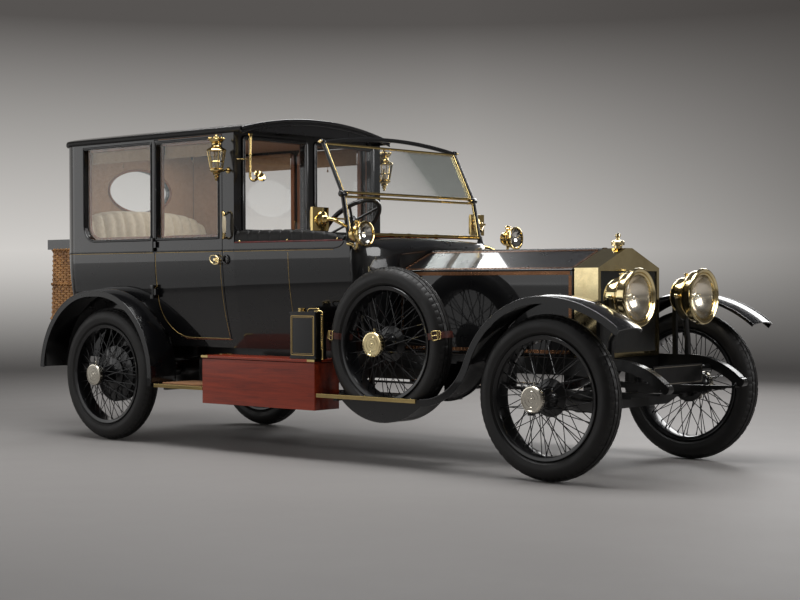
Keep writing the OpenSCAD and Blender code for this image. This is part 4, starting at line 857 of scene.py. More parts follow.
def lanterns():
    """Carriage lamps on the pillars, with a pierced crown and six-barred glass."""
    brass, glass, candle = Shape(), Shape(), Shape()
    for side, _ in SIDES:
        place = shift(LANTERN_X, side * LANTERN_OUT, LANTERN_LOW)
        brass.lathe([(0, 0), (6, 1), (10, 7), (8, 14), (12, 18), (16, 24), (12, 31), (18, 37), (24, 43),
                     (22, 50), (30, 55), (40, 60), (44, 66), (44, 74), (40, 78), (43, 82), (36, 84),
                     (0, 84)], place, 48)
        brass.lathe([(0, 190), (55, 190), (62, 186), (64, 192), (60, 199), (50, 205), (36, 214),
                     (31, 222), (30, 236), (37, 242), (46, 252), (50, 262), (44, 264), (38, 262),
                     (32, 268), (22, 276), (13, 281), (9, 286), (10, 291), (6, 295), (0, 296)], place, 48)
        for a in round_turn(12):
            leaf = place @ Matrix.Rotation(a, 4, "Z") @ shift(45, 0, 262) @ Matrix.Rotation(0.5, 4, "Y")
            brass.lathe([(7, 0), (8, 5), (5, 11), (0, 14)], leaf, 10)
        for i in range(6):
            a = 2 * pi * (i + 0.5) / 6
            rod = [(r * cos(a), r * sin(a), z) for r, z in ((40, 80), (60, 190))]
            brass.tube(rod, 3.2, 8, place=place)
        brass.lathe([(47, 118), (49, 121), (47, 124), (45, 121)], place, 48, True)
        glass.lathe([(38, 84), (58, 188)], place, 36)
        candle.lathe([(0, 84), (14, 84), (16, 92), (11, 96), (11, 150), (7, 156), (0, 160)], place, 20)
        bend = ((698, 72), (722, 74), (745, 66), (762, 72))
        arm = [(LANTERN_X, side * y, LANTERN_LOW + z) for y, z in bend]
        brass.tube(arm, (11, 7, 7, 9), 12)
        rose = shift(LANTERN_X, side * 700, LANTERN_LOW + 72) @ turned(-90 * side, "X")
        brass.lathe([(0, 0), (20, 0), (20, 4), (14, 7), (0, 8)], rose, 24)
    brass.make("lantern_brass", BRASS, stands_for=("carriage_lamps",), soft=40)
    glass.make("lantern_glass", LANTERN_GLASS, soft=60)
    candle.make("lantern_candles", IVORY, soft=50)


def side_lamps_and_mirrors():
    brass, mirror, glass = Shape(), Shape(), Shape()
    face, height = span("side_lamps")[1].x, SIDE_LAMP_HEIGHT
    x0 = span("mirrors")[0].x + 8
    for side, _ in SIDES:
        place = facing_forward(face, side * SIDE_LAMP_OUT, height)
        brass.lathe([(63, -8), (66, 0), (71, 1.5), (76, -1), (77, -6), (75, -12), (70, -15), (68, -22),
                     (63, -38), (54, -52), (49, -58), (48, -64), (52, -67), (52, -73), (48, -76),
                     (46, -96), (40, -106), (28, -113), (0, -116)], place, 64)
        brass.lathe([(12, 44), (12, 60), (20, 64), (16, 72), (22, 76), (12, 84), (0, 86)],
                    shift(face - 70, side * SIDE_LAMP_OUT, height), 24)
        scroll = ((face - 70, SIDE_LAMP_OUT, 44), (face - 72, 733, 70), (face - 86, 724, 84),
                  (face - 112, 706, 86), (face - 140, 684, 78), (face - 166, 664, 62),
                  (SCUTTLE_BACK - 14, 650, 52))
        brass.tube([(x, side * y, height - drop) for x, y, drop in scroll], (13, 9, 9, 9, 9, 10, 14), 14)
        mirror.lathe([(62, -11), (50, -22), (34, -32), (16, -38), (0, -40)], place, 48)
        glass.lathe([(63, -5), (45, -1), (20, 1.5), (0, 2)], place, 48)
        (y0, y1), (z0, z1) = sorted(side * y for y in MIRROR_Y), MIRROR_Z
        frame_path = [(x0 - 9, y, z) for y, z in round_box((y0 + 4, z0 + 4), (y1 - 4, z1 - 4), 16)]
        brass.tube(frame_path, 6, 10, closed=True)
        glass_turn = Matrix(((0, 0, -1, x0 - 8.2), (1, 0, 0, 0), (0, 1, 0, 0), (0, 0, 0, 1)))
        mirror.plate(round_box((y0 + 8, z0 + 8), (y1 - 8, z1 - 8), 12), 2.5, glass_turn)
        boss = facing_forward(x0 + 8, side * 745, 1445)
        brass.lathe([(44, 0), (46, 4), (38, 10), (24, 16), (20, 26), (24, 34), (20, 44), (10, 50),
                     (0, 51)], boss, 40)
        arm = [(x0 + 46, side * 745, 1445), (x0 + 80, side * 728, 1440), (SCREEN[0][0] - 8, side * 650, 1400)]
        brass.tube(arm, (11, 10, 11), 14)
    brass.make("lamp_and_mirror_brass", BRASS, stands_for=("side_lamps",), soft=40)
    mirror.make("mirror_glass", SILVER, soft=60)
    glass.make("side_lamp_lenses", LENS, soft=60)


# Beading on the body

DOOR_BACK_EDGE, DOOR_FRONT_EDGE = REAR_AXLE + 417 + 3, DIVISION - 108
DOOR_FOOT, DOOR_CORNER = 698, 250
BACK_CORNER = TUCK + WALL + 25
ROOF_OVER, ROOF_LIP = 15, 14        # how far the roof stands over the walls, and its lip's height
QUARTER_BACK, QUARTER_FRONT = REAR_AXLE - 320, DOOR_BACK_EDGE - 43
OVAL_HALF, OVAL_RISE, OVAL_MIDDLE = 292, 157, 1735      # the rear window's oval and its height
BELT_END = 430                      # where the right belt turns up into its swan neck
FRONT_DOOR = (SCUTTLE_BACK - 524, SCUTTLE_BACK - 44)


def side_bead(side, nodes, outline, section, name, finish, body="chassis"):
    """A moulding laid on the body's side along an outline of (x, z) points."""
    path = Surface(*nodes).lay(on_side(side, outline), (0, -side, 0))
    shape = Shape()
    shape.sweep(path, section, (0, side, 0))
    return shape.make(name, finish, body, soft=50)


def run_along(points, step=30.0):
    """An outline filled in with points about a step apart."""
    path = joined(*[stretch((*a, 0), (*b, 0), step) for a, b in zip(points, points[1:])])
    return [(p.x, p.y) for p in path]


def door_outline(inset):
    """The rear door's shut line: down the back edge, round the corner, along the foot and up the front."""
    back, front, foot = DOOR_BACK_EDGE + inset, DOOR_FRONT_EDGE - 3 * inset, DOOR_FOOT + inset
    corner = arc((back + DOOR_CORNER, foot + DOOR_CORNER), DOOR_CORNER, 180, 270, 14)
    return run_along([(back, BELT - 16), *corner, (front, foot), (front, BELT - 16)])


def beading():
    line, gold = bead(9, 4.5), bead(3.6, 1.6)
    belts = ((BELT, line, PAINT, "belt_bead"), (BELT - 8, gold, GILT, "belt_gilt"))
    for side, name in SIDES:
        rear = ("body_rear",)
        door = ("door_rear_" + name,)
        door_body = "rear_" + name + "_door"
        side_bead(side, door, door_outline(7), gold, "door_gilt_" + name, GILT, door_body)
        for z, section, finish, kind in belts:
            quarter = run_along([(BACK + BACK_CORNER, z), (DOOR_BACK_EDGE - 14, z)])
            side_bead(side, rear, quarter, section, kind + "_quarter_" + name, finish)
            side_bead(side, door, run_along([(DOOR_BACK_EDGE + 10, z), (DOOR_FRONT_EDGE - 6, z)]), section,
                      kind + "_door_" + name, finish, door_body)
            side_bead(side, rear, run_along([(DOOR_FRONT_EDGE + 8, z), (DIVISION - 4, z)]), section,
                      kind + "_pillar_" + name, finish)
            fore_end = FRONT_DOOR[0] - 6 if side > 0 else BELT_END
            side_bead(side, ("body_front",), run_along([(DIVISION + 4, z), (fore_end, z)]), section,
                      kind + "_front_" + name, finish)
        # a swan neck at the fore end of the right side, the door's own line on the left
        if side < 0:
            rises = ((0, 0), (40, 6), (68, 22), (80, 40))
            neck = run_along([(BELT_END + d, BELT + rise) for d, rise in rises], 12)
            side_bead(side, ("body_front",), neck, line, "belt_neck_right", PAINT)
            seam = run_along([(62, BELT - 20), (62, SILL + 40)])
            side_bead(side, ("body_front",), seam, gold, "front_gilt_right", GILT)
        else:
            low, high = FRONT_DOOR[0] + 9, FRONT_DOOR[1] - 9
            own, own_body = ("door_front_left",), "front_left_door"
            top, foot = BELT - 16, DOOR_FOOT + 8
            outline = run_along([(low, top), (low, foot), (high, foot), (high, top)])
            side_bead(side, own, outline, gold, "front_gilt_left", GILT, own_body)
            outline = run_along([(low, BELT), (high, BELT)])
            side_bead(side, own, outline, line, "belt_bead_front_door", PAINT, own_body)
        # mouldings round the windows
        frame_line = bead(15, 7)
        x0, x1 = DOOR_LOW.x - 10, DOOR_HIGH.x + 10
        z0, z1 = DOOR_LOW.z - 10, DOOR_HIGH.z + 10
        loop = run_along([(x0, z0), (x1, z0), (x1, z1), (x0, z1), (x0, z0)])
        side_bead(side, door, loop, frame_line, "door_window_bead_" + name, PAINT, door_body)
        quarter_back, quarter_front = QUARTER_BACK - 10, QUARTER_FRONT + 10
        corner = arc((quarter_back + 120, WINDOW_LOW - 10 + 120), 120, 180, 270, 10)
        loop = run_along([(quarter_back, WINDOW_TOP + 10), *corner, (quarter_front, WINDOW_LOW - 10),
                          (quarter_front, WINDOW_TOP + 10), (quarter_back, WINDOW_TOP + 10)])
        side_bead(side, rear, loop, frame_line, "quarter_window_bead_" + name, PAINT)
    # the belt goes on round the back
    turn = arc((BACK + BACK_CORNER, -HALF + BACK_CORNER), BACK_CORNER, 270, 180, 12)
    plan = turn + [(BACK, y) for y in (-300, 0, 300)] + [(x, -y) for x, y in reversed(turn)]
    for z, section, finish, kind in belts:
        path = [Vector((x, y, z)) for x, y in plan]
        rows = []
        for i, p in enumerate(path):
            along = (path[min(i + 1, len(path) - 1)] - path[max(i - 1, 0)]).normalized()
            out = along.cross(Vector((0, 0, 1)))
            out = -out if out.dot(Vector((p.x - BACK - 600, p.y, 0))) < 0 else out
            rows.append([p + Vector((0, 0, s)) + out * u for s, u in section])
        shape = Shape()
        shape.rows(rows)
        shape.make(kind + "_back", finish, soft=50)
    # oval moulding round the rear window
    width, height = OVAL_HALF + 5, OVAL_RISE + 5
    oval = [Vector((BACK, width * cos(a), OVAL_MIDDLE + height * sin(a))) for a in round_turn(64)]
    laid = Surface("body_rear").lay(oval, (1, 0, 0))
    shape = Shape()
    shape.tube(laid, 8, 10, closed=True)
    shape.make("rear_window_bead", PAINT, soft=50)


# Bonnet strips


def riveted_strip(surface, path, look, across):
    """A thin strip laid on a panel with two rows of rivet heads; across points over its width."""
    half, proud, pitch = 10.0, 1.4, 26.0
    shape = Shape()
    laid = surface.lay(path, look)
    across = Vector(across).normalized()
    look = Vector(look).normalized()
    section = [(-half, -0.6), (-half, proud), (half, proud), (half, -0.6)]
    shape.rows([[p + across * s - look * u for s, u in section] for p in laid])
    length = sum((b - a).length for a, b in zip(laid, laid[1:]))
    count = max(2, int(length / pitch))
    spots = []
    for i in range(count):
        at = (i + 0.5) / count * (len(laid) - 1)
        k = min(int(at), len(laid) - 2)
        p = laid[k].lerp(laid[k + 1], at - k) - look * proud
        spots += [p + across * (half - 5), p - across * (half - 5)]
    shape.domes(spots, 3.0, 2.2, -look)
    return shape


def bonnet_strips():
    for side, name in SIDES:
        top, panel = Surface("bonnet_top_" + name), Surface("bonnet_side_" + name)
        low, high = span("bonnet_top_" + name)
        x0, x1 = low.x + 14, high.x - 14
        slope = Vector((0, side * (BONNET_HALF - 22), SHOULDER - RIDGE)).normalized()
        look = Vector((0, slope.z * side, -slope.y * side))
        if look.z > 0:
            look = -look
        for kind, y in (("ridge", 46), ("shoulder", 300)):
            z = RIDGE - 6 + (y - 22) * slope.z / abs(slope.y)
            riveted_strip(top, stretch((x0, side * y, z), (x1, side * y, z), 90), look, slope).make(
                "bonnet_" + kind + "_strip_" + name, COPPER, name + "_bonnet_top", soft=30)
        for kind, x in (("front", x1), ("back", x0)):
            ends = [(x, side * y, RIDGE - 6 + (y - 22) * slope.z / abs(slope.y)) for y in (60, 286)]
            riveted_strip(top, stretch(*ends, 40), look, (1, 0, 0)).make(
                "bonnet_top_" + kind + "_strip_" + name, COPPER, name + "_bonnet_top", soft=30)
        low, high = span("bonnet_side_" + name)
        x0, x1, z0, z1 = low.x + 15, high.x - 15, low.z + 16, high.z - 24
        y = side * BONNET_HALF
        for kind, start, end, across in (
                ("top", (x0, y, z1), (x1, y, z1), (0, 0, 1)), ("foot", (x0, y, z0), (x1, y, z0), (0, 0, 1)),
                ("front", (x1, y, z0 + 14), (x1, y, z1 - 14), (1, 0, 0)),
                ("back", (x0, y, z0 + 14), (x0, y, z1 - 14), (1, 0, 0))):
            riveted_strip(panel, stretch(start, end, 90), (0, -side, 0), across).make(
                "bonnet_side_" + kind + "_strip_" + name, COPPER, name + "_bonnet_side", soft=30)


# Fenders and running boards

BOARD_TOP = span("running_boards")[1].z
BOARD_BACK = span("running_boards")[0].x
FENDER_EDGE = 811
BOARD_EDGE, MAT_INNER, MAT_OUTER = 803, 490, 785    # out from the car's middle


def fender_beads():
    shape = Shape()
    hub = FRONT_AXLE + 10
    tail = (hub - 838.2, 742.1)
    front = [*reversed(arc((hub, 185), 802, 54, 90, 16)), *arc((hub, 435), 552, 90, 159, 20),
             *reversed(arc(tail, 339, -90, -20, 20))]
    rear = [*arc((REAR_AXLE - 55, 447), 562, 0, 90, 24), *arc((REAR_AXLE - 115, 447), 562, 90, 177, 24)]
    rear = [(rear[0][0], BOARD_TOP), *rear]
    for side, _ in SIDES:
        for outline in (sorted(front, key=lambda p: -p[0]), rear):
            shape.tube([(x, side * FENDER_EDGE, z) for x, z in outline], 5, 10)
    shape.make("fender_edges", PAINT, soft=60)


def running_boards():
    brass, mats = Shape(), Shape()
    box_low, box_high = span("tool_box")
    front_end = FRONT_AXLE - 828.2
    section = [(-3, -12), (3, -12), (3, 10), (0, 13), (-12, 13), (-12, 10), (-3, 10)]
    for side, ends in ((-1, ((BOARD_BACK + 4, box_low.x - 2), (box_high.x + 2, front_end - 40))),
                       (1, ((BOARD_BACK + 4, front_end - 4),))):
        for x0, x1 in ends:
            rows = [[(x, side * (BOARD_EDGE + s), BOARD_TOP - 8 + u) for s, u in section] for x in (x0, x1)]
            brass.rows(rows)
            spots = [(x, side * (BOARD_EDGE - 5), BOARD_TOP + 5) for x in (x0 + 40, (x0 + x1) / 2, x1 - 40)]
            brass.domes(spots, 4, 2, (0, 0, 1))
    brass.make("board_edging", BRASS, bevel=0.8)
    for side, x0, x1 in ((-1, BOARD_BACK + 60, box_low.x - 30), (1, BOARD_BACK + 60, -520), (1, 40, 560)):
        y0, y1 = sorted((side * MAT_INNER, side * MAT_OUTER))
        rim = round_box((x0, y0), (x1, y1), 14)
        mats.plate(rim, 13, shift(0, 0, BOARD_TOP + 0.2))
    mats.make("board_mats", MAT, bevel=4)


def tool_box():
    """A varnished chest with a lipped lid and brass corners."""
    low, high = span("tool_box")
    wood, brass, lid = Shape(), Shape(), Shape()
    plan = round_box((low.x + 4, low.y + 4), (high.x - 4, high.y - 4), 5, 3)
    wood.plate(plan, high.z - low.z - 22, shift(0, 0, low.z))
    wood.make("tool_chest", MAHOGANY, stands_for=("tool_box",), bevel=2.5, slot="mahogany")
    lid.plate(round_box((low.x, low.y), (high.x, high.y), 6, 3), 18, shift(0, 0, high.z - 19))
    lid.make("tool_chest_lid", MAHOGANY, bevel=4, slot="mahogany")
    arm, breadth, t = 62, 16, 2.0
    for x, sx in ((low.x, 1), (high.x, -1)):
        for y, sy in ((low.y, 1), (high.y, -1)):
            outline = [(0, 0), (arm, 0), (arm, breadth), (breadth, breadth), (breadth, arm), (0, arm)]
            flat = [(x + sx * (a - t), y + sy * (b - t)) for a, b in outline]
            brass.plate(flat, t, shift(0, 0, high.z - 0.4))
            brass.block((min(x - sx * t, x + sx * arm), min(y - sy * t, y), high.z - 14),
                        (max(x - sx * t, x + sx * arm), max(y - sy * t, y), high.z + t - 0.4))
            brass.block((min(x - sx * t, x), min(y - sy * t, y + sy * arm), high.z - 14),
                        (max(x - sx * t, x), max(y - sy * t, y + sy * arm), high.z + t - 0.4))
            spots = [(x + sx * d, y + sy * e, high.z + t - 0.4) for d, e in ((8, 40), (40, 7), (8, 8))]
            brass.domes(spots, 3, 1, (0, 0, 1))
    brass.make("tool_chest_brass", BRASS, bevel=0.6)


def spirit_can():
    """A black can with a gilt border, a brass cap and handle, and the chained bar that holds it."""
    low, high = span("spirit_can")
    tin, gold, brass = Shape(), Shape(), Shape()
    for inset, z0, z1 in ((0, low.z, low.z + 10), (3, low.z + 9, high.z - 31), (0, high.z - 32, high.z - 24),
                          (8, high.z - 25, high.z - 20)):
        tin.plate(round_box((low.x + inset, low.y + inset), (high.x - inset, high.y - inset), 10, 4), z1 - z0,
                  shift(0, 0, z0))
    tin.make("spirit_tin", ENAMEL, stands_for=("spirit_can",), bevel=2)
    for inset, width in ((18, 4.5), (27, 1.6)):
        x0, x1, z0, z1 = low.x + inset, high.x - inset, low.z + inset + 6, high.z - inset - 28
        path = [(x, low.y + 2.6, z) for x, z in round_box((x0, z0), (x1, z1), 6, 4)]
        w = width / 2
        gold.sweep(path, [(-w, -0.6), (w, -0.6), (w, 0.9), (-w, 0.9)], (0, -1, 0), True)
    gold.make("spirit_tin_lines", GILT, soft=50)
    cap = shift(low.x + 62, (low.y + high.y) / 2, high.z - 22)
    brass.lathe([(26, 0), (26, 8), (22, 10), (22, 14), (25, 16), (25, 22), (21, 24), (0, 25)], cap, 32)
    hold = ((112, -20), (108, -6), (96, -2), (34, -2), (22, -6), (18, -20))
    brass.tube([(high.x - d, (low.y + high.y) / 2, high.z + z) for d, z in hold], 5, 12)
    # the bar over the can, its upright and chain beside it
    post = high.x + 26
    y = low.y + 34
    brass.tube([(high.x - 40, y, high.z - 17), (post - 12, y, high.z - 15), (post, y, high.z - 24),
                (post, y, low.z + 2)], 4.5, 12)
    for i in range(15):
        z = high.z - 45 - i * 13.5
        wide, deep = (5.5, 0) if i % 2 else (0, 5.5)
        ring = [(post + wide * cos(a), y - 9 + deep * cos(a), z + 9 * sin(a)) for a in round_turn(12)]
        brass.tube(ring, 1.7, 6, closed=True)
    brass.lathe([(0, 0), (14, 0), (14, 4), (7, 8), (7, 12), (0, 12)], shift(post, y, low.z - 0.5), 20)
    brass.make("spirit_tin_brass", BRASS, soft=45)


def spare_straps():
    """Two straps round the spare's tyre, buckled outside."""
    leather_shape, brass = Shape(), Shape()
    place = wheel_place("spare_tyre")
    for turn in (8, 174):
        about = place @ turned(turn, "Z")
        rows = []
        for i in range(33):
            a = 2 * pi * i / 32
            row = []
            for lift in (1.0, 5.0):
                r = TYRE_HALF + lift
                for w in ((-19, 19) if lift == 1.0 else (19, -19)):
                    row.append((TYRE_RING + r * cos(a), w, r * sin(a)))
            rows.append(row)
        leather_shape.grid(rows, False, True, about)
        tongue = [(TYRE_RING + (TYRE_HALF + 7) * cos(a), 0, (TYRE_HALF + 7) * sin(a))
                  for a in (radians(62 + 5 * i) for i in range(12))]
        leather_shape.sweep(tongue, [(-18, -1.5), (18, -1.5), (18, 2), (-18, 2)], (0, 0, 1), place=about)
        keep = radians(74)
        centre = Vector((TYRE_RING + (TYRE_HALF + 8) * cos(keep), 0, (TYRE_HALF + 8) * sin(keep)))
        lay = about @ Matrix.Translation(centre) @ Matrix.Rotation(pi / 2 - keep, 4, "Y")
        brass.tube([(x, y, 2) for x, y in round_box((-17, -26), (17, 26), 6, 4)], 3.2, 8, True, lay)
        brass.tube([(-15, 0, 4), (16, 0, 5)], 2.2, 8, place=lay)
        brass.tube([(x, y, 2) for x, y in round_box((24, -23), (36, 23), 4, 3)], 2.4, 8, True, lay)
    leather_shape.make("spare_straps", STRAP_LEATHER, soft=50)
    brass.make("spare_buckles", BRASS, soft=50)


# Wicker trunk

STRAND_ROW, STAKE_GAP = 17.0, 36.0


def wicker_trunk():
    low, high = span("trunk_basket")
    lean, corner = 22.0, 46.0
    plan = round_box((low.x + 9, low.y + 9), (high.x - 9, high.y - 9), corner, 5)
    loop = [Vector((x, y, 0)) for x, y in plan]
    lengths = [(b - a).length for a, b in zip(loop, loop[1:] + loop[:1])]
    around = sum(lengths)
    stakes = 2 * round(around / STAKE_GAP / 2)

    def at(share):
        """A point and outward direction, a share of the way round."""
        way = share % 1.0 * around
        for i, length in enumerate(lengths):
            if way <= length or i == len(lengths) - 1:
                a, b = loop[i], loop[(i + 1) % len(loop)]
                along = (b - a).normalized()
                return a + along * way, Vector((along.y, -along.x, 0))
            way -= length

    def leaning(p, z):
        """The back face leans out towards the foot."""
        share = max(0.0, (high.x - p.x) / (high.x - low.x))
        return Vector((p.x + lean * share * (z - low.z) / (high.z - low.z), p.y, z))

    strands = Shape()
    rows = int((high.z - low.z - 40) / STRAND_ROW)
    for r in range(rows + 1):
        z = low.z + 24 + r * STRAND_ROW
        path, sides = [], []
        for k in range(stakes * 2):
            p, out = at(k / (2 * stakes))
            swing = 6.0 * cos(pi * (k / 2 + r))
            path.append(leaning(p + out * swing, z))
            sides.append(out)
        ring = []
        for p, out in zip(path, sides):
            ring.append([p + out * 4.0 * cos(a) + Vector((0, 0, 8.6 * sin(a))) for a in
                         round_turn(6)])
        strands.grid(ring, True, True)
    for k in range(stakes):
        p, out = at(k / stakes)
        strands.tube([leaning(p, low.z + 8), leaning(p, high.z - 8)], 4.5, 6)
    # plaited borders at the foot, waist and rim
    for z in (low.z + 10, (low.z + high.z) / 2, high.z - 12):
        for phase in (0.0, pi):
            path = []
            for k in range(stakes * 4):
                p, out = at(k / (4 * stakes))
                wave = 2 * pi * k / 8 + phase
                path.append(leaning(p + out * (7 + 5 * cos(wave)), z + 7 * sin(wave)))
            strands.tube(path, 6, 6, closed=True)
    strands.make("wicker_weave", CANE, stands_for=("trunk_basket",), soft=70, slot="wicker")
    lining = Shape()
    wall = 5
    x0, x1, y0, y1 = low.x + 18 + lean, high.x - 20, low.y + 20, high.y - 20
    inner = round_box((x0, y0), (x1, y1), corner - 12, 5)
    outer = round_box((x0 - wall, y0 - wall), (x1 + wall, y1 + wall), corner - 7, 5)
    rings = [[(x, y, z) for x, y in edge] for edge, z in (
        (outer, low.z + 14), (outer, high.z - 4), (inner, high.z - 4), (inner, low.z + 24))]
    lining.grid(rings, False, True)
    lining.add(rings[0], [list(range(len(outer)))])
    lining.add(rings[3], [list(range(len(inner)))])
    lining.make("trunk_lining", CANE_DARK, soft=40)


# Handles and the speaking tube

# upper and lower end of the grab handle: ahead of its post, out from the wall, height
GRAB_SCROLLS = (
    ((-26, -2, 1500), (-26, 14, 1502), (-20, 26, 1512), (-6, 32, 1516), (4, 34, 1504), (6, 34, 1486)),
    ((-22, -2, 1352), (-22, 14, 1351), (-16, 26, 1346), (-4, 32, 1348), (6, 34, 1362), (7, 34, 1380)))
GRAB_GRIP = ((6, 1488), (7, 1470), (7, 1430), (7, 1396), (7, 1378))
HANDLE_HEIGHT = 1212


def door_fittings():
    for side, name in SIDES:
        door_body = "rear_" + name + "_door"
        brass, black, grip = Shape(), Shape(), Shape()
        spot = skin(side, DOOR_FRONT_EDGE - 52, HANDLE_HEIGHT)
        rose = Matrix.Translation(spot) @ turned(-90 * side, "X")
        brass.lathe([(0, -2), (23, -2), (24, 3), (17, 6), (10, 9), (9, 16), (12, 20), (10, 24), (0, 25)],
                    rose, 32)
        tilt = radians(-18 if side < 0 else 18)
        ring = [(spot.x + 42 * cos(a) * cos(tilt) - 27 * sin(a) * sin(tilt),
                 spot.y + side * 22, spot.z + 42 * cos(a) * sin(tilt) + 27 * sin(a) * cos(tilt))
                for a in round_turn(40)]
        brass.tube(ring, 5, 10, closed=True)
        brass.tube([(spot.x + 4, spot.y + side * 18, spot.z), ring[0]], 5, 10)
        brass.make("door_handle_" + name, PALE_BRASS, door_body, soft=45)
        keeper = skin(side, DOOR_FRONT_EDGE + 36, HANDLE_HEIGHT)
        hoop = [(keeper.x + 24 * cos(a), keeper.y + side * 8, keeper.z + 26 * sin(a))
                for a in round_turn(32)]
        black.tube(hoop, 5, 10, closed=True)
        black.tube([(keeper.x - 24, keeper.y + side * out, keeper.z) for out in (-4, 10)], 7, 10)
        black.make("door_keeper_" + name, ENAMEL, soft=45)
        # the scrolled grab handle on the pillar
        x, y = DIVISION - 60, side * HALF
        metal = Shape()
        for scroll in GRAB_SCROLLS:
            path = [(x + ahead, y + side * out, z) for ahead, out, z in scroll]
            metal.tube(path, (9, 7, 7, 7, 8, 10), 12)
        metal.make("grab_handle_" + name, BRASS, soft=60)
        path = [(x + ahead, y + side * 34, z) for ahead, z in GRAB_GRIP]
        grip.tube(path, (9, 11.5, 13, 11.5, 9), 14)
        grip.make("grab_grip_" + name, IVORY, soft=60)


def speaking_tube():
    """The brass tube by the driver's ear, with its trumpet mouth."""
    x, y = DIVISION + 62, -612
    shape = Shape()
    shape.tube([(x, y, 2010), (x, y, 1990)], (15, 12), 14)
    bend = [(x + 34 - 34 * cos(a), y - 4, 1745 - 34 * sin(a)) for a in
            (pi * 0.72 * i / 8 for i in range(9))]
    shape.tube([(x, y, 1992), (x, y - 2, 1900), (x, y - 4, 1800), *bend], 8, 12)
    end, before = Vector(bend[-1]), Vector(bend[-2])
    aim = Matrix.Translation(end) @ (end - before).to_track_quat("Z", "Y").to_matrix().to_4x4()
    shape.lathe([(8, -4), (11, 6), (17, 18), (28, 30), (40, 38), (43, 40), (41, 42), (30, 36), (16, 22),
                 (0, 14)], aim, 32)
    for z in (1975, 1880, 1800):
        shape.lathe([(8, -5), (11, -3), (11, 3), (8, 5)], shift(x, y - 3, z), 16)
    shape.tube([(x, y - 4, 1850), (x - 34, y - 30, 1850), (x - 62, y - 60, 1850)], 4, 8)
    shape.make("speaking_tube", BRASS, soft=50)


scuttle()
windscreen()
headlamps()
lanterns()
side_lamps_and_mirrors()
beading()
bonnet_strips()
fender_beads()
running_boards()
tool_box()
spirit_can()
spare_straps()
wicker_trunk()
door_fittings()
speaking_tube()


# Seats and lining

INNER = HALF - WALL             # half width inside the walls
BUTTON_PITCH = (150.0, 120.0)   # how far apart the buttons of the deep-buttoned leather are
PLEAT = 92.0                    # width of a sewn channel of the cloth seat
ROLL_HEIGHT, PIPING_HEIGHT, STUD_HEIGHT = 1300, 1319, 1327      # along the cockpit's sides
ROLL_END = 500                  # fore end of the right side's roll
ARM_MIDDLE = (-1790, 648, 1088)     # middle of an arm pad's foot
FLOOR_TOP, SEAT_TOP, SEAT_BACK_LOW = 666, 962, 1078     # heights of the floor, seat boxes and backs
PAD_GRID, PAD_SWELL = 14.0, 14.0    # mesh size of a pad, and how far the stuffing may push it out
FRONT_PAD, REAR_PAD = 112, 124  # how thick the seat cushions are


def swelled(piece, held):
    """Fills a pad by a short cloth simulation with its base and buttons held, and keeps the result."""
    pressure, frames = 4.0, 18
    scene = bpy.context.scene
    rest = [v.co.copy() for v in piece.data.vertices]
    group = piece.vertex_groups.new(name="held")
    group.add(held, 1.0, "REPLACE")
    cloth = piece.modifiers.new("fill", "CLOTH")
    cloth.settings.use_pressure = True
    cloth.settings.uniform_pressure_force = pressure
    cloth.settings.vertex_group_mass = "held"
    cloth.settings.effector_weights.gravity = 0
    cloth.point_cache.frame_start, cloth.point_cache.frame_end = 1, frames
    for i in range(1, frames + 1):
        scene.frame_set(i)
    filled = piece.evaluated_get(bpy.context.evaluated_depsgraph_get()).data
    moved = [v.co.copy() for v in filled.vertices]
    piece.modifiers.remove(cloth)
    piece.vertex_groups.remove(group)
    scene.frame_set(1)
    for vertex, a, b in zip(piece.data.vertices, rest, moved):
        step = b - a
        vertex.co = a + step * min(1.0, PAD_SWELL * MM / max(step.length, 1e-9))


def pad(name, finish, size, thick, place, relief, stands_for=(), slot=None, trim=None):
    """A stuffed pad on the XY plane of its place.

    relief(u, v) gives 0 in a seam or at a button and 1 between; trim(a) shortens the pad across its width.
    """
    width, length = size
    nu, nv = max(6, round(width / PAD_GRID)), max(6, round(length / PAD_GRID))
    rows, low = [], []
    for j in range(nv + 1):
        row = []
        for i in range(nu + 1):
            a, b = i / nu, j / nv
            round_off = ((1 - abs(2 * a - 1) ** 7) * (1 - abs(2 * b - 1) ** 7)) ** 0.3
            deep = relief(a * width, b * length)
            u, v = (a - 0.5) * width, b * length
            if trim:
                v *= trim(a)
            row.append((u, v, thick * round_off * (0.62 + 0.38 * deep)))
            if deep < 0.12 or round_off < 0.2:
                low.append(len(rows) * (nu + 1) + i)
        rows.append(row)
    base = [[(u, v, 0) for u, v, _ in row] for row in rows]
    shape = Shape()
    shape.grid(rows, place=place)
    shape.grid(base, place=place)
    piece = shape.make(name, finish, stands_for=stands_for, soft=70, slot=slot)
    tree = KDTree(len(piece.data.vertices))
    for v in piece.data.vertices:
        tree.insert(v.co, v.index)
    tree.balance()
    top = [p for row in rows for p in row]
    rests = [top[i] for i in low] + [p for row in base for p in row]
    held = sorted({tree.find(place @ Vector(p) * MM)[1] for p in rests})
    swelled(piece, held)
    smooth = piece.modifiers.new("smooth", "SUBSURF")
    smooth.levels = smooth.render_levels = 1
    return piece


def buttoned(u, v):
    """Diamond tufting: seams run on the slant and buttons lie where they cross."""
    a, b = u / BUTTON_PITCH[0] + v / BUTTON_PITCH[1], u / BUTTON_PITCH[0] - v / BUTTON_PITCH[1]
    return (abs(sin(pi * a)) * abs(sin(pi * b))) ** 0.45


def pleated(u, v):
    return abs(sin(pi * u / PLEAT)) ** 0.5


def plain(u, v):
    return 1.0


def facing(x_axis, y_axis, origin):
    """A place from two directions and an origin."""
    x, y = Vector(x_axis).normalized(), Vector(y_axis).normalized()
    z = x.cross(y)
    return Matrix([(*row, at) for row, at in zip(zip(x, y, z), origin)] + [(0, 0, 0, 1)])


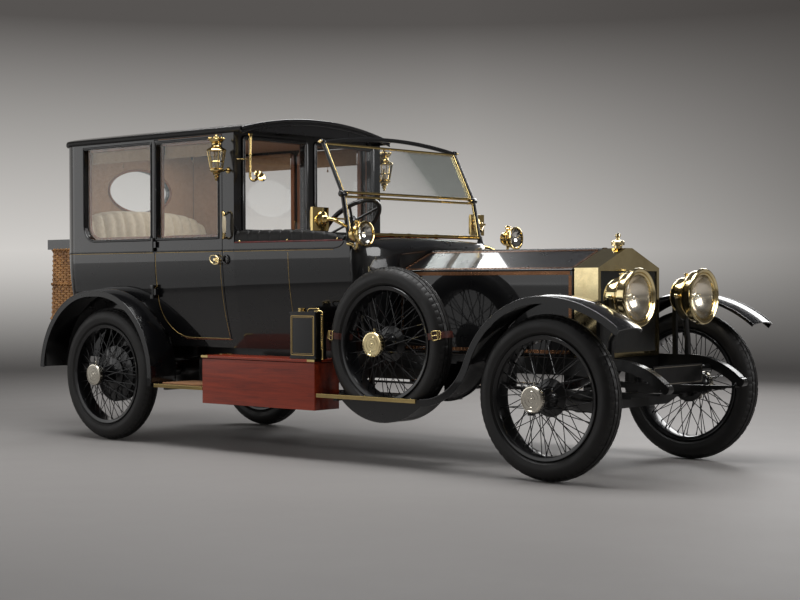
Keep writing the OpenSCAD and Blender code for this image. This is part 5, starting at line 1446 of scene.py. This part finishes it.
def seat_buttons(name, size, thick, place, finish):
    """Covered buttons where the slanting seams cross."""
    shape = Shape()
    pu, pv = BUTTON_PITCH
    for i in range(1, int(2 * size[0] / pu)):
        for j in range(1, int(2 * size[1] / pv)):
            if (i + j) % 2:
                continue
            u, v = i * pu / 2, j * pv / 2
            if 40 < u < size[0] - 40 and 30 < v < size[1] - 30:
                spot = place @ Vector((u - size[0] / 2, v, thick * 0.62 - 3))
                shape.domes([spot], 9, 8, (place.to_3x3() @ Vector((0, 0, 1))))
    shape.make(name, finish, soft=60)


def front_seat():
    low, high = span("front_seat")
    width = high.y - low.y - 30
    seat_size, back_size = (width, high.x - low.x - 20), (width + 10, high.z - SEAT_BACK_LOW + 2)
    seat_place = facing((0, 1, 0), (-1, 0, 0), (high.x - 2, 0, SEAT_TOP))
    back_place = facing((0, 1, 0), (0, 0, 1), (low.x + 8, 0, SEAT_BACK_LOW))
    pad("front_seat_cushion", BLACK_LEATHER, seat_size, FRONT_PAD, seat_place, buttoned, ("front_seat",),
        slot="black_leather")
    pad("front_seat_back", BLACK_LEATHER, back_size, FRONT_PAD, back_place, buttoned, slot="black_leather")
    seat_buttons("front_seat_buttons", seat_size, FRONT_PAD, seat_place, BLACK_LEATHER)
    seat_buttons("front_back_buttons", back_size, FRONT_PAD, back_place, BLACK_LEATHER)
    box = Shape()
    box.block((low.x + 14, -468, FLOOR_TOP), (high.x - 34, 468, SEAT_TOP))
    box.make("front_seat_box", CHASSIS, bevel=4)
    # rolled edges along the cockpit's sides and the red piping outside them
    for side, name in SIDES:
        end = ROLL_END if side < 0 else FRONT_DOOR[0] - 16
        roll, pipe, studs = Shape(), Shape(), Shape()
        start = DIVISION + 8
        rows = []
        for i in range(151):
            along = i / 150
            x = start + (end - start) * along
            gather = 1 - 0.07 * max(0.0, sin(2 * pi * (x - start) / 90)) ** 8
            tall = 60 * (1 - 0.45 * along ** 5) * gather
            centre = skin(side, x, ROLL_HEIGHT, -WALL + 9) + Vector((0, 0, tall - 24))
            rows.append([centre + Vector((0, 28 * gather * cos(a), tall * sin(a)))
                         for a in round_turn(20)])
        roll.rows(rows)
        piece = roll.make("cockpit_roll_" + name, BLACK_LEATHER, soft=70)
        pipe.tube([skin(side, x, PIPING_HEIGHT, -3) for x in (DIVISION + 6, -200, 0, end - 40, end)], 5.5, 10)
        pipe.make("cockpit_piping_" + name, RED_LEATHER, soft=70)
        spots = [skin(side, x, STUD_HEIGHT) for x in (start + 40, (start + end) / 2, end - 40)]
        studs.domes(spots, 7, 5, (0, side, 0))
        studs.make("cockpit_studs_" + name, BRASS, soft=50)


def rear_seat():
    low, high = span("rear_seat")
    seat_place = facing((0, 1, 0), (-1, 0, 0), (high.x - 2, 0, SEAT_TOP))
    back_place = facing((0, 1, 0), (-0.12, 0, 1), (low.x + 60, 0, SEAT_BACK_LOW))
    seat_size = (1130, high.x - low.x - 138)
    pad("rear_seat_cushion", CREAM_CLOTH, seat_size, REAR_PAD, seat_place, pleated, ("rear_seat",),
        slot="cream_cloth")
    pad("rear_seat_back", CREAM_CLOTH, (1196, high.z - SEAT_BACK_LOW - 4), 100, back_place, pleated,
        slot="cream_cloth", trim=lambda a: 1 - 0.22 * abs(2 * a - 1) ** 4)
    for side, name in SIDES:
        x, y, z = ARM_MIDDLE
        arm = facing((side, 0, 0), (0, 0, 1), (x, side * y, z))
        pad("rear_arm_" + name, CREAM_CLOTH, (520, 190), 66, arm, plain, slot="cream_cloth")
    box = Shape()
    box.block((low.x + 140, -528, FLOOR_TOP), (high.x - 24, 528, SEAT_TOP))
    box.make("rear_seat_box", LINING, bevel=6)


def wall_panel(side, x0, x1, z0, z1, name, body="chassis"):
    """Cloth lining on the inside of a wall, following its tuck."""
    rows = []
    steps = 14
    for i in range(steps + 1):
        z = z0 + (z1 - z0) * i / steps
        y = INNER - tuck(z) - 1
        rows.append([(x0, side * y, z), (x1, side * y, z), (x1, side * (y - 5), z), (x0, side * (y - 5), z)])
    shape = Shape()
    shape.rows(rows)
    shape.make(name, LINING, body, soft=40, slot="cream_cloth")


def garnish(side, loop, name, body="chassis"):
    """A wooden frame inside a window."""
    shape = Shape()
    path = [Vector((x, side * (INNER - 7), z)) for x, z in loop]
    shape.sweep(path, [(-17, -8), (17, -8), (17, 4), (13, 8), (-13, 8), (-17, 4)], (0, side, 0), True)
    shape.make(name, WOOD_TRIM, body, soft=35, slot="mahogany")


def blind(side, x0, x1, name, body="chassis"):
    """A silk blind let down from its roller, with a hem bar and a pull."""
    drop, top, y = 105.0, WINDOW_TOP + 12, side * (INNER - 22)
    columns, steps = 36, 10
    rows = []
    for j in range(steps + 1):
        z = top - drop * j / steps
        ripple = 1.6 * j / steps
        rows.append([(x0 + (x1 - x0) * i / columns, y + ripple * sin(i * 0.9), z)
                     for i in range(columns + 1)])
    cloth = Shape()
    cloth.grid(rows)
    piece = cloth.make("blind_" + name, BLIND_CLOTH, body, soft=70, slot="cream_cloth")
    trim = Shape()
    trim.tube([(x0 - 4, y, top), (x1 + 4, y, top)], 11, 14)
    trim.tube([(x0, y, top - drop), (x1, y, top - drop)], 5, 10)
    middle_x = (x0 + x1) / 2
    trim.tube([(middle_x, y, top - drop), (middle_x, y, top - drop - 24)], (1.5, 2), 8)
    trim.lathe([(0, -18), (5, -16), (6, -8), (4, 0), (0, 2)], shift(middle_x, y, top - drop - 24), 12)
    hem = trim.make("blind_bar_" + name, BLIND_CLOTH, body, soft=50)
    (x1 - x0) * MM


def saloon_lining():
    for side, name in SIDES:
        door_body = "rear_" + name + "_door"
        door_x0, door_x1 = DOOR_BACK_EDGE + 34, DOOR_FRONT_EDGE - 34
        wall_panel(side, door_x0, door_x1, DOOR_FOOT + 40, WINDOW_LOW - 6, "door_lining_" + name, door_body)
        wall_panel(side, BACK + BACK_CORNER, DOOR_BACK_EDGE - 10, 1040, WINDOW_LOW - 4,
                   "quarter_lining_" + name)
        loop = run_along([(DOOR_LOW.x, DOOR_LOW.z), (DOOR_HIGH.x, DOOR_LOW.z), (DOOR_HIGH.x, DOOR_HIGH.z),
                          (DOOR_LOW.x, DOOR_HIGH.z), (DOOR_LOW.x, DOOR_LOW.z)], 80)[:-1]
        garnish(side, loop, "door_garnish_" + name, door_body)
        corner = arc((QUARTER_BACK + 110, WINDOW_LOW + 110), 110, 180, 270, 8)
        loop = run_along([(QUARTER_BACK, WINDOW_TOP), *corner, (QUARTER_FRONT, WINDOW_LOW),
                          (QUARTER_FRONT, WINDOW_TOP), (QUARTER_BACK, WINDOW_TOP)], 80)[:-1]
        garnish(side, loop, "quarter_garnish_" + name)
        blind(side, DOOR_LOW.x + 16, DOOR_HIGH.x - 16, "door_" + name, door_body)
        blind(side, QUARTER_BACK + 12, QUARTER_FRONT - 12, "quarter_" + name)
        # cloth round the rounded back corner, up to the quarter window
        bend, near = BACK_CORNER - WALL - 3, HALF - BACK_CORNER
        turns = [(BACK + BACK_CORNER, pi * i / 24) for i in range(13)] + [(QUARTER_BACK - 20, pi / 2)]
        rows = []
        for x, a in turns:
            faces = [(x - r * cos(a), side * (near + r * sin(a))) for r in (bend, bend - 5)]
            low, high = 1290, EAVES - 4
            rows.append([(*faces[0], low), (*faces[0], high), (*faces[1], high), (*faces[1], low)])
        corner_cloth = Shape()
        corner_cloth.rows(rows)
        corner_cloth.make("corner_lining_" + name, LINING, soft=60, slot="cream_cloth")
    # head lining under the roof
    rows = []
    for i in range(25):
        y = (INNER - 6) * (i / 12 - 1)
        z = EAVES + 70 * (1 - (y / INNER) ** 2)
        rows.append([(BACK + BACK_CORNER + 2, y, z), (DIVISION - 44, y, z), (DIVISION - 44, y, z - 4),
                     (BACK + BACK_CORNER + 2, y, z - 4)])
    roof = Shape()
    roof.rows(rows)
    roof.make("head_lining", LINING, soft=60, slot="cream_cloth")
    # the back wall round the oval window
    inner_x = BACK + WALL + 2
    rings = [[], []]
    for a in round_turn(72):
        c, s = cos(a), sin(a)
        rings[0].append((OVAL_HALF * c, OVAL_MIDDLE + OVAL_RISE * s))
        reach = min(520 / max(abs(c), 1e-6), (285 if s > 0 else 640) / max(abs(s), 1e-6))
        rings[1].append((reach * c, OVAL_MIDDLE + reach * s))
    back = Shape()
    loops = [[(inner_x + d, y, z) for y, z in rings[k]] for k, d in ((0, 0), (1, 0), (1, 5), (0, 5))]
    back.grid(loops, True, True)
    back.make("back_lining", LINING, soft=40, slot="cream_cloth")
    oval = Shape()
    oval.tube([(inner_x + 8, y, z) for y, z in rings[0]], 9, 10, closed=True)
    oval.make("rear_window_garnish", WOOD_TRIM, soft=60, slot="mahogany")


def division_wood():
    """Panelled wood on the saloon's side of the division, and rails round its two panes on both sides; the
    driver's-side rails are black, painted shade standing in for mahogany in shadow.
    """
    wood, shade_black_rail = Shape(), Shape()
    x = DIVISION - 40
    post, sill = DIVISION_POST, DIVISION_SILL
    half = HALF - WALL - 60
    wood.block((x - 8, -560, 700), (x - 1, 560, sill - 40))
    for y0, y1 in ((-540, -20), (20, 540)):
        path = [(x - 12, y, z) for y, z in round_box((y0, 740), (y1, sill - 90), 12, 3)]
        wood.tube(path, 8, 8, closed=True)
    for y0, y1 in ((-half, -post), (post, half)):
        for face in (x - 5, DIVISION + 3):
            opening = round_box((y0 - 14, sill - 14), (y1 + 14, WINDOW_TOP + 8), 16, 3)
            path = [(face, y, z) for y, z in opening]
            frame_side = shade_black_rail if face > x else wood
            section = [(-14, -6), (14, -6), (14, 4), (9, 7), (-9, 7), (-14, 4)]
            frame_side.sweep(path, section, (1 if face > x else -1, 0, 0), True)
    wood.make("division_wood", WOOD_TRIM, bevel=1.0, slot="mahogany")
    # the driver's-side rails are black: painted shade standing in for the mahogany garnish in shadow
    shade_black_rail.make("division_front_rails_painted_shade", ENAMEL, bevel=1.0)


# Roof's edge


def roof_edge():
    """A leather edge wrapped over the roof's rim, clear of the doors' top edges."""
    x0, x1, half = BACK - ROOF_OVER, DIVISION + 78, HALF + ROOF_OVER
    r = BACK_CORNER + ROOF_OVER
    path = [((x1, -half), (0, -1)), ((x0 + r, -half), (0, -1))]
    for side, start in ((-1, 270), (1, 180)):
        for a in (radians(start - 90 * i / 12) for i in range(13)):
            n = (cos(a), sin(a))
            path.append(((x0 + r + r * n[0], side * (half - r) + r * n[1]), n))
    path += [((x0 + r, half), (0, 1)), ((x1, half), (0, 1))]
    section = ((-13, -11), (-2, -11), (3, -5), (4, 6), (2, 17), (-4, 23), (-14, 25), (-22, 20), (-22, 2))
    rows = [[(p[0] + n[0] * u, p[1] + n[1] * u, EAVES + up) for u, up in section] for p, n in path]
    edge = Shape()
    edge.rows(rows)
    edge.make("roof_edge", BLACK_LEATHER, soft=50)
    # two beads along the roof's arched front
    top = span("roof")[1].z
    crown = top - EAVES - ROOF_LIP
    radius = (half * half + crown * crown) / (2 * crown)
    stations = [(half - 6) * (i / 24 - 1) for i in range(49)]
    front = Shape()
    for drop, thick in ((8, 10), (34, 6)):
        arch = [(x1 + 3, y, top - radius + sqrt(radius * radius - y * y) - drop) for y in stations]
        front.tube(arch, thick, 12)
    front.make("roof_front_beads", ROOF_PAINT, soft=60)


# Driver's controls

DIAL_HEIGHT = 1205


def dashboard():
    board, brass, dial, glass, black = Shape(), Shape(), Shape(), Shape(), Shape()
    x = SCUTTLE_BACK - 6
    outline = round_box((-600, 1120), (600, 1290), 40)
    turn = Matrix(((0, 0, -1, x), (1, 0, 0, 0), (0, 1, 0, 0), (0, 0, 0, 1)))
    board.plate(outline, 16, turn)
    board.make("dash_board", MAHOGANY, bevel=3, slot="mahogany")
    for y, r in ((-60, 62), (90, 48), (210, 40), (320, 40), (-470, 44)):
        face = turn @ shift(y, DIAL_HEIGHT, 16)
        brass.lathe([(r, 0), (r + 8, 0), (r + 9, 6), (r + 6, 13), (r, 14), (r - 3, 10)], face, 40)
        dial.lathe([(r - 2, 3), (0, 3)], face, 40)
        glass.lathe([(r - 2, 10), (0, 11.5)], face, 40)
        for i in range(11):
            a = radians(-30 + 24 * i)
            mark = [((r - inset) * cos(a), (r - inset) * sin(a), 3.4) for inset in (8, 15)]
            black.tube(mark, 1.2, 5, place=face)
        black.tube([(0, 0, 4.5), ((r - 14) * 0.8, (r - 14) * 0.6, 4.5)], (3, 1), 6, place=face)
    brass.make("dash_bezels", BRASS, soft=45)
    dial.make("dash_dials", IVORY, soft=60)
    glass.make("dash_glasses", GLASS, soft=60)
    black.make("dash_marks", ENAMEL, soft=50)
    levers = Shape()
    for lx, ly in ((160, -566), (215, -548)):
        levers.tube([(lx, ly, 662), (lx - 6, ly, 760), (lx - 30, ly, 960), (lx - 44, ly, 1065)],
                    (11, 9, 8, 7), 12)
        levers.lathe([(0, -8), (11, -6), (14, 6), (12, 20), (0, 26)], shift(lx - 45, ly, 1070), 20)
    for py in (-400, -280, -180):
        levers.tube([(455, py, 664), (430, py, 740), (415, py, 800)], (8, 8, 9), 10)
        pedal = shift(412, py, 806) @ turned(-55, "Y")
        levers.plate(round_box((-26, -30), (26, 30), 8, 3), 9, pedal)
    levers.make("levers_and_pedals", NICKEL, bevel=1.0)
    boards = Shape()
    for i in range(9):
        x0 = DIVISION + 545 + i * 38
        boards.block((x0, -535, 665.2), (x0 + 34, 535, 671))
    boards.make("cockpit_floor_slats", WOOD_TRIM, bevel=1.0)


def plate_border():
    low, high = span("number_plate")
    shape = Shape()
    outline = round_box((low.y + 9, low.z + 9), (high.y - 9, high.z - 9), 8, 4)
    path = [(high.x + 0.4, y, z) for y, z in outline]
    shape.sweep(path, [(-2.5, -0.6), (2.5, -0.6), (2.5, 1), (-2.5, 1)], (1, 0, 0), True)
    shape.make("number_plate_line", NICKEL, soft=40)


front_seat()
rear_seat()
saloon_lining()
division_wood()
roof_edge()
dashboard()
plate_border()


# Camera, floor and light

CAMERA_PLACE = (7039.1, -7698.8, 1074.0)
CAMERA_YAW, CAMERA_PITCH, CAMERA_ROLL = 40.824, -0.688, -0.166
FOCAL_PIXELS, FRAME_PIXELS, SENSOR = 1601.6, 800, 36.0


def make_camera():
    data = bpy.data.cameras.new("camera")
    data.sensor_width = SENSOR
    data.lens = SENSOR * FOCAL_PIXELS / FRAME_PIXELS
    camera = bpy.data.objects.new("camera", data)
    bpy.context.scene.collection.objects.link(camera)
    yaw, pitch, roll = (radians(a) for a in (CAMERA_YAW, 90 + CAMERA_PITCH, CAMERA_ROLL))
    turn = Matrix.Rotation(yaw, 4, "Z") @ Matrix.Rotation(pitch, 4, "X") @ Matrix.Rotation(roll, 4, "Z")
    camera.matrix_world = Matrix.Translation(Vector(CAMERA_PLACE) * MM) @ turn
    bpy.context.scene.camera = camera


def make_stage():
    """A pale floor that sweeps up into a backdrop all round."""
    rise, reach, curve = 9000, 13000, 3500
    profile = [(0, 0), (reach - curve, 0)]
    profile += arc((reach - curve, curve), curve, -90, 0, 12)
    profile += [(reach, rise)]
    shape = Shape()
    shape.lathe(profile, shift(0, 0, -0.5), 96)
    mesh = bpy.data.meshes.new("studio_floor")
    mesh.from_pydata([p * MM for p in shape.points], [], shape.faces)
    mesh.shade_smooth()
    mesh.materials.append(studio_ground())
    floor = bpy.data.objects.new("studio_floor", mesh)
    bpy.context.scene.collection.objects.link(floor)


def soft_light(name, place, target, size, power):
    data = bpy.data.lights.new(name, "AREA")
    data.shape = "RECTANGLE"
    data.size, data.size_y = size
    data.energy = power
    lamp = bpy.data.objects.new(name, data)
    bpy.context.scene.collection.objects.link(lamp)
    aim = (Vector(target) - Vector(place)).to_track_quat("-Z", "Y")
    lamp.matrix_world = Matrix.Translation(Vector(place) * MM) @ aim.to_matrix().to_4x4()


def make_light():
    world = bpy.context.scene.world or bpy.data.worlds.new("studio")
    bpy.context.scene.world = world
    world.use_nodes = True
    world.node_tree.nodes["Background"].inputs["Color"].default_value = (0.5, 0.5, 0.52, 1)
    world.node_tree.nodes["Background"].inputs["Strength"].default_value = 0.16
    soft_light("overhead", (700, -900, 5200), (300, 0, 600), (6.0, 2.4), 360)
    soft_light("right_rear", (-3300, -4700, 2400), (-900, 0, 1300), (8.0, 2.8), 78)
    soft_light("right_low", (-3300, -4700, 600), (-900, 0, 900), (8.0, 0.9), 8)
    soft_light("saloon", (-1350, 0, 2010), (-1350, 0, 900), (1.2, 0.8), 4)
    soft_light("rear_left", (-5000, 4100, 5400), (700, -100, 1200), (2.6, 2.6), 110)
    soft_light("front", (7500, 1500, 3000), (1500, 0, 800), (3.0, 2.4), 150)
    soft_light("left_side", (-500, 6500, 3400), (0, 0, 900), (6.0, 2.2), 190)


make_camera()
make_stage()
make_light()

bpy.context.scene.view_settings.view_transform = "Standard"
